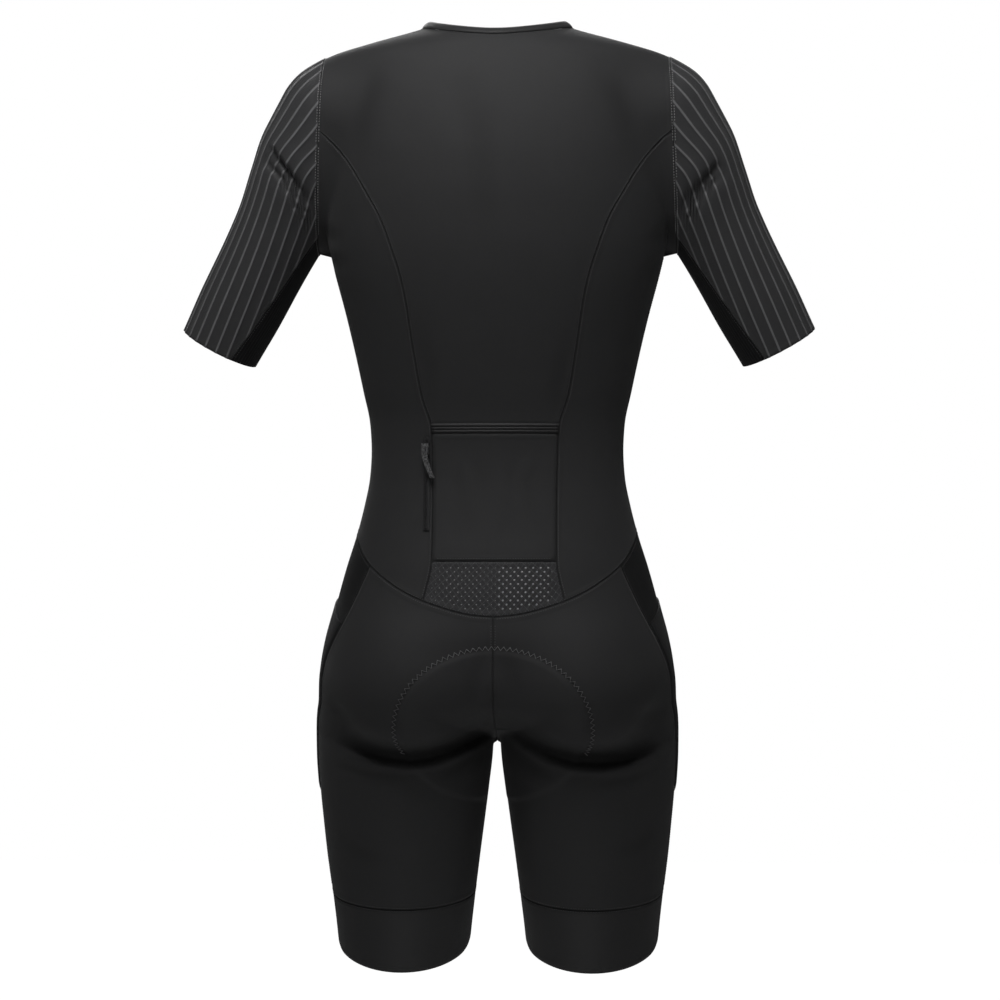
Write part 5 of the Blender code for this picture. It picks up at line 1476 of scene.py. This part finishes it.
flank_outers = sew_panel("short_side", flank_grid, MESH_FINISH)


# Side pockets: one layer of the smooth knit on the side of each leg, open at the top.
SIDE_POCKET_TOP = -0.5150
SIDE_POCKET_BOTTOM = -0.6900
FLANK_KNIT = cloth_finish(
    "side_pocket_knit", (0.0125, 0.0125, 0.013), 0.65, 0.03, seam=0.0003, seam_shade=0.3
)[0]
for name, outer in zip(("side_pocket_left", "side_pocket_right"), flank_outers):
    middle = outer[:, outer.shape[1] // 2, 2]
    rows = np.arange(len(middle))
    low, high = (np.interp(z, middle, rows) for z in (SIDE_POCKET_BOTTOM, SIDE_POCKET_TOP))
    kept = rows[(rows > low + 0.2) & (rows < high - 0.2)]
    rows = np.concatenate(([low], kept, [high]))[:, None]
    under = over(outer, rows, inner_columns(outer, 0.1), LAYER_GAP)
    lay_on(name, under, FLANK_KNIT)


# Leg bands: gripper bands of firm elastic knit, each a ring sewn to the leg panels.
LEG_HEM = -0.8395
BAND_CLOTH = 0.0018
BAND_ROWS = 22
turns, heights = np.meshgrid(
    np.linspace(0, 2 * math.pi, steps(30)), np.linspace(LEG_BAND_TOP - HALF_GAP, LEG_HEM, BAND_ROWS)
)
band = leg_point(turns, heights)
band[0] += HALF_GAP * unit(band[1] - band[0])
normal = normals_of(band)
down = np.linspace(0, 1, BAND_ROWS)[:, None, None]
rounding = 0.0007 * (1 - np.sqrt(np.clip(1 - (2 * down - 1) ** 10, 0, 1)))
for ending, turn in SIDES:
    outer = (band - normal * rounding) * turn
    inner = (band - normal * (BAND_CLOTH - rounding)) * turn
    inner[0] += 2 * SEAM_GAP * unit(inner[0] - inner[1])
    piece = knit_mesh("leg_band" + ending + "_cloth", outer, inner, BAND_FINISH, closed=True)
    dress(piece, "leg_band" + ending, outer)


# Sleeves: knitted with raised ribs along the arm, plain inside, from the armhole seam to a raw
# cut edge, and closed by the two underarm seams.
SLEEVE_LENGTH = 0.2470
RIB_PITCH = 0.0112
RIB_RISE = 0.0009
RIBS_A_SIDE = 12
RIB_SPREAD = (
    # distance along the arm, radius that spreads the ribs round it
    (-0.030, 0.0420),
    (0.020, 0.0480),
    (0.060, 0.0540),
    (0.090, 0.0510),
    (0.150, 0.0460),
    (0.260, 0.0400),
)
SLEEVE_ROWS = (
    0.00, 0.07, 0.13, 0.18, 0.225, 0.27, 0.315, 0.36, 0.41, 0.47, 0.56, 0.67, 0.78, 0.89, 1.00,
)
SEAM_CLEAR = 0.0012
FOLD_RADIUS = 0.055
UNDERARM_SEAM = (
    # distance from the shoulder, back edge and front edge in degrees about the arm
    (0.060, 152, 208),
    (0.100, 146, 214),
    (0.150, 138, 222),
    (0.200, 128, 230),
    (0.250, 118, 236),
)
UNDERARM_LINES = curves_of(UNDERARM_SEAM)


def arm_point(turn, distance):
    """Cloth at an angle about the left arm: 0 outwards, 90 degrees to the back."""
    origin = SHOULDER + distance[..., None] * ARM_AXIS
    direction = np.cos(turn)[..., None] * ARM_OUT + np.sin(turn)[..., None] * ARM_BACK
    return reach(origin, direction, ARM_REACH)


def sleeve_hole():
    """The armhole as distances along the arm, by angle about it."""
    offset = armhole(np.linspace(-math.pi / 2, 3 * math.pi / 2, 721)[:-1]) - SHOULDER
    turn, along = np.arctan2(offset @ ARM_BACK, offset @ ARM_OUT), offset @ ARM_AXIS
    order = np.argsort(turn)
    turn, along = turn[order], along[order]
    whole = 2 * math.pi
    return np.concatenate((turn - whole, turn, turn + whole)), np.tile(along, 3)


HOLE = sleeve_hole()
RIB_LINE = curve_of(RIB_SPREAD, 1)


def sleeve_place(across, share):
    """Angle and distance of a rib line at a share of the way from armhole to cuff.

    Across is measured round the sleeve from its top line, in metres; lines that would pass an
    underarm seam stay on it.
    """
    across, share = np.broadcast_arrays(across, share)
    distance = share * SLEEVE_LENGTH
    for _ in range(30):
        turn = across / np.interp(distance, *RIB_LINE)
        back, front = (np.radians(np.interp(distance, *line)) for line in UNDERARM_LINES)
        turn = np.clip(turn, front - 2 * math.pi, back)
        start = np.interp(turn, *HOLE)
        distance = start + (SLEEVE_LENGTH - start) * share
    clear = SEAM_CLEAR / np.interp(distance, *RIB_LINE)
    held = (turn > back - clear) | (turn < front - 2 * math.pi + clear)
    return turn, distance, held


def fold_rise(turn, distance, folds):
    """How far the armpit folds push the sleeve in at each place."""
    rise = np.zeros(np.broadcast(turn, distance).shape)
    for near_s, near_turn, far_s, far_turn, depth, half in folds:
        start = np.array((near_s, FOLD_RADIUS * math.radians(near_turn)))
        end = np.array((far_s, FOLD_RADIUS * math.radians(far_turn)))
        run = end - start
        offset = np.stack((distance - start[0], FOLD_RADIUS * turn - start[1]), -1)
        along = np.clip(offset @ run / (run @ run), 0, 1)
        away = np.linalg.norm(offset - along[..., None] * run, axis=-1)
        fade = np.sin(math.pi * np.clip(1 - along, 0.0, 1.0) ** 0.6) ** 0.7
        rise -= depth * fade * np.exp(-((away / half) ** 2))
        rise += 0.3 * depth * fade * np.exp(-(((away - 1.9 * half) / half) ** 2))
    return rise


def sleeve_wall(grid, lift, lapped=False):
    """A sleeve's grid moved out by lift, its edges half a seam gap in, or lapped by as much."""
    edged = grid.copy()
    free = grid[:, grid.shape[1] // 2]
    for column in (0, -1):
        run = unit(np.gradient(grid[:, column], axis=0))
        step = free - grid[:, column]
        edged[:, column] += HALF_GAP * unit(step - (step * run).sum(-1, keepdims=True) * run)
    normal, edged = meet_armhole(grid, normals_of(grid), edged, 1)
    if lapped:
        edged = 2 * grid - edged
    return edged + normal * lift[..., None]


def merged_index(held):
    """Vertex numbers of a grid whose held columns all stand on the seam at that row."""
    rows, columns = held.shape
    index = np.arange(rows * columns).reshape(rows, columns)
    half = columns // 2
    index[:, :half] = np.where(held[:, :half], index[:, :1], index[:, :half])
    index[:, half:] = np.where(held[:, half:], index[:, -1:], index[:, half:])
    return index


RIBBED_FINISH, tree, knit, tint = cloth_finish("ribbed_knit", (0.028, 0.028, 0.029), 0.48, 0.08)
# painted sheen: the rib tops are painted much lighter than the cloth between them
rib_sheen = ramp_node(tree, mark_node(tree, "rib_sheen"), 0.55, 1.0)
patterned(tree, knit, tint, rib_sheen, 0, (0.028, 0.028, 0.029), (0.105, 0.105, 0.108))
LEFT_FOLDS = (
    # distance and angle of the inner end, of the outer end, depth, half width
    (0.0780, 118, 0.0560, 42, 0.0022, 0.0085),
    (0.0760, 116, 0.0495, 42, 0.0019, 0.0030),
    (0.0768, 116, 0.0650, 48, 0.0014, 0.0024),
    (0.0785, 116, 0.0560, 62, 0.0016, 0.0022),
    (0.0800, 118, 0.0760, 74, 0.0016, 0.0022),
    (0.0860, 126, 0.0880, 92, 0.0014, 0.0024),
    (0.0920, 132, 0.0960, 104, 0.0010, 0.0024),
    (0.0560, 250, 0.0700, 292, 0.0016, 0.0060),
)
RIGHT_FOLDS = (
    (0.0850, 126, 0.0640, 54, 0.0024, 0.0085),
    (0.0842, 132, 0.0628, 58, 0.0022, 0.0030),
    (0.0830, 112, 0.0745, 66, 0.0014, 0.0024),
    (0.0870, 132, 0.0820, 90, 0.0014, 0.0022),
    (0.0920, 134, 0.0930, 100, 0.0013, 0.0024),
    (0.0600, 246, 0.0740, 288, 0.0016, 0.0060),
)
offsets = np.array((-0.0024, -0.0015, -0.0008, 0.0, 0.0008, 0.0015, 0.0024, RIB_PITCH / 2))
profile = np.array((0.0, 0.35, 0.85, 1.0, 0.85, 0.35, 0.0, 0.0))
ribs = np.arange(-RIBS_A_SIDE, RIBS_A_SIDE + 1) * RIB_PITCH
across = np.concatenate(([-0.5], (ribs[:, None] + offsets).ravel()[:-1], [0.5]))
raised = np.concatenate(([0.0], np.tile(profile, len(ribs))[:-1], [0.0]))
down_rows = np.interp(np.arange(steps(14)) / FINE, np.arange(15), SLEEVE_ROWS)
close_rows = np.interp(np.arange(141) / 10, np.arange(15), SLEEVE_ROWS)
turn, distance, held = sleeve_place(across[None], close_rows[:, None])
grid = arm_point(turn, distance)
for (ending, mirror), folds in zip(SIDES, (LEFT_FOLDS, RIGHT_FOLDS)):
    fold = fold_rise(turn, distance, folds)
    outer = sleeve_wall(grid, fold + RIB_RISE * raised * ~held) * mirror
    inner = sleeve_wall(grid, fold - CLOTH, lapped=True) * mirror
    # painted shade: the fold mark darkens the colour in the armpit folds
    marks = {"rib_sheen": raised * ~held, "fold": np.clip(-fold / 0.0068, 0, 1)}
    name, drop = f"sleeve{ending}_cloth", merged_index(held)
    piece = knit_mesh(name, outer, inner, RIBBED_FINISH, drop=drop, marks=marks)
    dress(piece, "sleeve" + ending, outer)


# Underarm panels: thin dark knit with fine raised lines along it, between the underarm seams; the
# knit is made darker still as painted shade under the arm.
UNDERARM_FINISH, tree, knit, tint = cloth_finish("underarm_knit", (0.006, 0.006, 0.0065), 0.7, 0.02)
u, v = cloth_place(tree)
wave = number_node(tree, "COSINE", number_node(tree, "MULTIPLY", u, 2 * math.pi / 0.0034))
line = ramp_node(tree, wave, 0.80, 1.0)
patterned(tree, knit, tint, line, 0.00018, (0.005, 0.005, 0.0055), (0.016, 0.016, 0.0165))
back_turns, back_distance, _ = sleeve_place(np.full(len(down_rows), 0.5), down_rows)
front_turns, front_distance, _ = sleeve_place(np.full(len(down_rows), -0.5), down_rows)
underarm_back = arm_point(back_turns, back_distance)
underarm_front = arm_point(front_turns, front_distance)
turns = np.linspace(back_turns[0], front_turns[0] + 2 * math.pi, steps(6))
top = arm_point(turns, np.interp(turns, *HOLE))
turns = np.linspace(back_turns[-1], front_turns[-1] + 2 * math.pi, steps(6))
bottom = arm_point(turns, np.full(len(turns), SLEEVE_LENGTH))
underarm_grid = cloth_grid(bottom, top, underarm_back[::-1], underarm_front[::-1])
sew_panel("undersleeve", underarm_grid, UNDERARM_FINISH, side=1)


# Seams: every one is flat-sewn with polyester thread, a row of short stitches on each side of
# the join. The armholes are sewn in a lighter grey, and the pad is held by a zigzag line.
def beside(line, distance):
    """A line on the cloth moved sideways by a distance, off its two ends a little."""
    run = unit(np.gradient(line, axis=0))
    return settle(line + distance * np.cross(normals_of(line), run), 3)[1:-1]


def spaced(line, pitch):
    """Points at one pitch along a line, and its direction at each."""
    step = np.linalg.norm(np.diff(line, axis=0), axis=1)
    far = np.concatenate(([0], np.cumsum(step)))
    if far[-1] < 3 * pitch:
        return np.zeros((0, 3)), np.zeros((0, 3))
    at = np.arange(pitch, far[-1] - pitch / 2, pitch)
    points = np.stack([np.interp(at, far, line[:, k]) for k in range(3)], -1)
    ahead_of = np.stack([np.interp(at + pitch / 4, far, line[:, k]) for k in range(3)], -1)
    return points, unit(ahead_of - points)


def stitch(name, lines, pitch, size, finish, mirrored=True, lift=0.00012):
    """Rows of stitches along lines, on both sides of the suit where they are mirrored."""
    rows = [spaced(line, pitch) for line in lines]
    points, lay = (np.concatenate([row[k] for row in rows]) for k in (0, 1))
    if mirrored:
        points = np.concatenate((points, points * ACROSS_SIDE))
        lay = np.concatenate((lay, lay * ACROSS_SIDE))
    return beads(name, points, lay, size, lift, finish)


def both_sides(line, distance):
    """The lines on the two sides of a seam."""
    return [beside(line, -distance), beside(line, distance)]


THREAD = thread_finish("charcoal_thread", (0.034, 0.034, 0.035), 0.55)
PALE_THREAD = thread_finish("grey_thread", (0.13, 0.13, 0.132), 0.55)
PAD_THREAD = thread_finish("pad_thread", (0.095, 0.095, 0.097), 0.5)
STITCH = (0.0016, 0.0005, 0.0004)
PALE_STITCH = (0.0019, 0.0009, 0.0007)
UNDERARM_STITCH = (0.0017, 0.0005, 0.0004)
STITCH_PITCH = 0.0024
WIDE_PITCH = 0.0026
around = np.linspace(0, 2 * math.pi, 241)
armholes = both_sides(armhole(around), 0.0012)
stitch("armhole_stitches", armholes, WIDE_PITCH, PALE_STITCH, PALE_THREAD)
side_backs = both_sides(side_inner_edge, 0.0016)
shoulders = both_sides(shoulder_seam(SHOULDER_STEPS), 0.0016)
sides = both_sides(side_edge, 0.0016)
stitch("top_stitches", side_backs + shoulders + sides, STITCH_PITCH, STITCH, THREAD)
waist = both_sides(waist_point(np.linspace(0, ZIP_CORNER, 241)), 0.0018)
flanks = [row for line in panel_sides for row in both_sides(line, 0.0016)]
stitch("waist_stitches", waist + flanks, STITCH_PITCH, STITCH, THREAD)
band_line = leg_point(around, np.full(len(around), LEG_BAND_TOP))
stitch("band_stitches", both_sides(band_line, 0.0016), STITCH_PITCH, STITCH, THREAD)
centre_lines = [beside(line, 0.0018) for line in (seat, belly)]
stitch("centre_stitches", centre_lines, STITCH_PITCH, STITCH, THREAD)
underarm = both_sides(underarm_back, 0.0015) + both_sides(underarm_front, 0.0015)
stitch("underarm_stitches", underarm, WIDE_PITCH, UNDERARM_STITCH, THREAD)
neck_line = beside(neck_point(np.linspace(0, NECK_END, 121)), 0.0016)
stitch("neck_stitches", [neck_line], STITCH_PITCH, STITCH, THREAD)
across_top = behind(np.linspace(0.055, -0.055, 121), np.full(121, INSERT_TOP))
for name, away, lift in (
    ("lumbar_stitches", -0.0018, 0.00012), ("pocket_foot_stitches", 0.0022, 0.0018),
):
    row = [beside(across_top, away)]
    stitch(name, row, STITCH_PITCH, STITCH, THREAD, mirrored=False, lift=lift)
pad_turn = np.linspace(-0.12 * math.pi, 1.12 * math.pi, 301)
pad_x = PAD_HALF_WIDTH * np.cos(pad_turn)
pad_z = PAD_CENTRE_Z + PAD_HALF_HEIGHT * np.sin(pad_turn)
pad_line = behind(pad_x, pad_z)
pad_up = normals_of(pad_line)
pad_line = pad_line + pad_up * creased(pad_line, pad_up, SEAT_FOLDS)[:, None]
zigzag("pad_zigzag", pad_line, 0.0028, 0.0018, 0.00034, 0.0006, PAD_THREAD)


# Studio: white surroundings, a pale floor well below the suit that the lens sees as bright as
# the surroundings, and soft lamps above and to the sides.
world = bpy.data.worlds.new("white studio")
bpy.context.scene.world = world
world.use_nodes = True
sky = world.node_tree
backdrop = sky.nodes["Background"]
backdrop.inputs["Color"].default_value = (1, 1, 1, 1)
seen = sky.nodes.new("ShaderNodeLightPath")
strength = ramp_node(sky, seen.outputs["Is Camera Ray"], 0.0, 1.0, 0.03, 1.0)
sky.links.new(strength, backdrop.inputs["Strength"])
FLOOR_HALF, FLOOR_Z = 9, -1.8
floor_mesh = bpy.data.meshes.new("floor")
turns = ((-1, -1), (1, -1), (1, 1), (-1, 1))
corners = [(x * FLOOR_HALF, y * FLOOR_HALF, FLOOR_Z) for x, y in turns]
floor_mesh.from_pydata(corners, [], [(0, 1, 2, 3)])
floor = bpy.data.objects.new("floor", floor_mesh)
bpy.context.scene.collection.objects.link(floor)
floor_values = {"Base Color": (0.86, 0.86, 0.86, 1), "Roughness": 0.8}
floor_values["Emission Color"] = (1, 1, 1, 1)
pale, tree, shader = new_finish("pale_floor", floor_values)
seen = tree.nodes.new("ShaderNodeLightPath")
glow = ramp_node(tree, seen.outputs["Is Camera Ray"], 0.0, 1.0, 0.0, 1.0)
tree.links.new(glow, shader.inputs["Emission Strength"])
floor_mesh.materials.append(pale)
floor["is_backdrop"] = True
LAMPS = (
    # name, place, size, power
    ("top", (0.12, 0.72, 0.80), 0.6, 20),
    ("low", (0.10, 0.95, -1.35), 0.7, 2.6),
    ("left", (2.4, 1.2, 0.2), 1.2, 5),
    ("right", (-2.4, 1.1, 0.1), 1.2, 9),
    ("front", (0.5, -2.6, 0.9), 1.6, 44),
)
for name, place, size, power in LAMPS:
    lamp = bpy.data.lights.new(name, "AREA")
    lamp.size = size
    lamp.energy = power
    held = bpy.data.objects.new(name, lamp)
    bpy.context.scene.collection.objects.link(held)
    held.location = place
    aim = Vector((0, 0, -0.35)) - Vector(place)
    held.rotation_euler = aim.to_track_quat("-Z", "Y").to_euler()
bpy.context.scene.view_settings.view_transform = "Standard"

boxes = {"cad": cad_box, "visual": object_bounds()}
{key: [list(map(float, c)) for c in box] for key, box in boxes.items()}
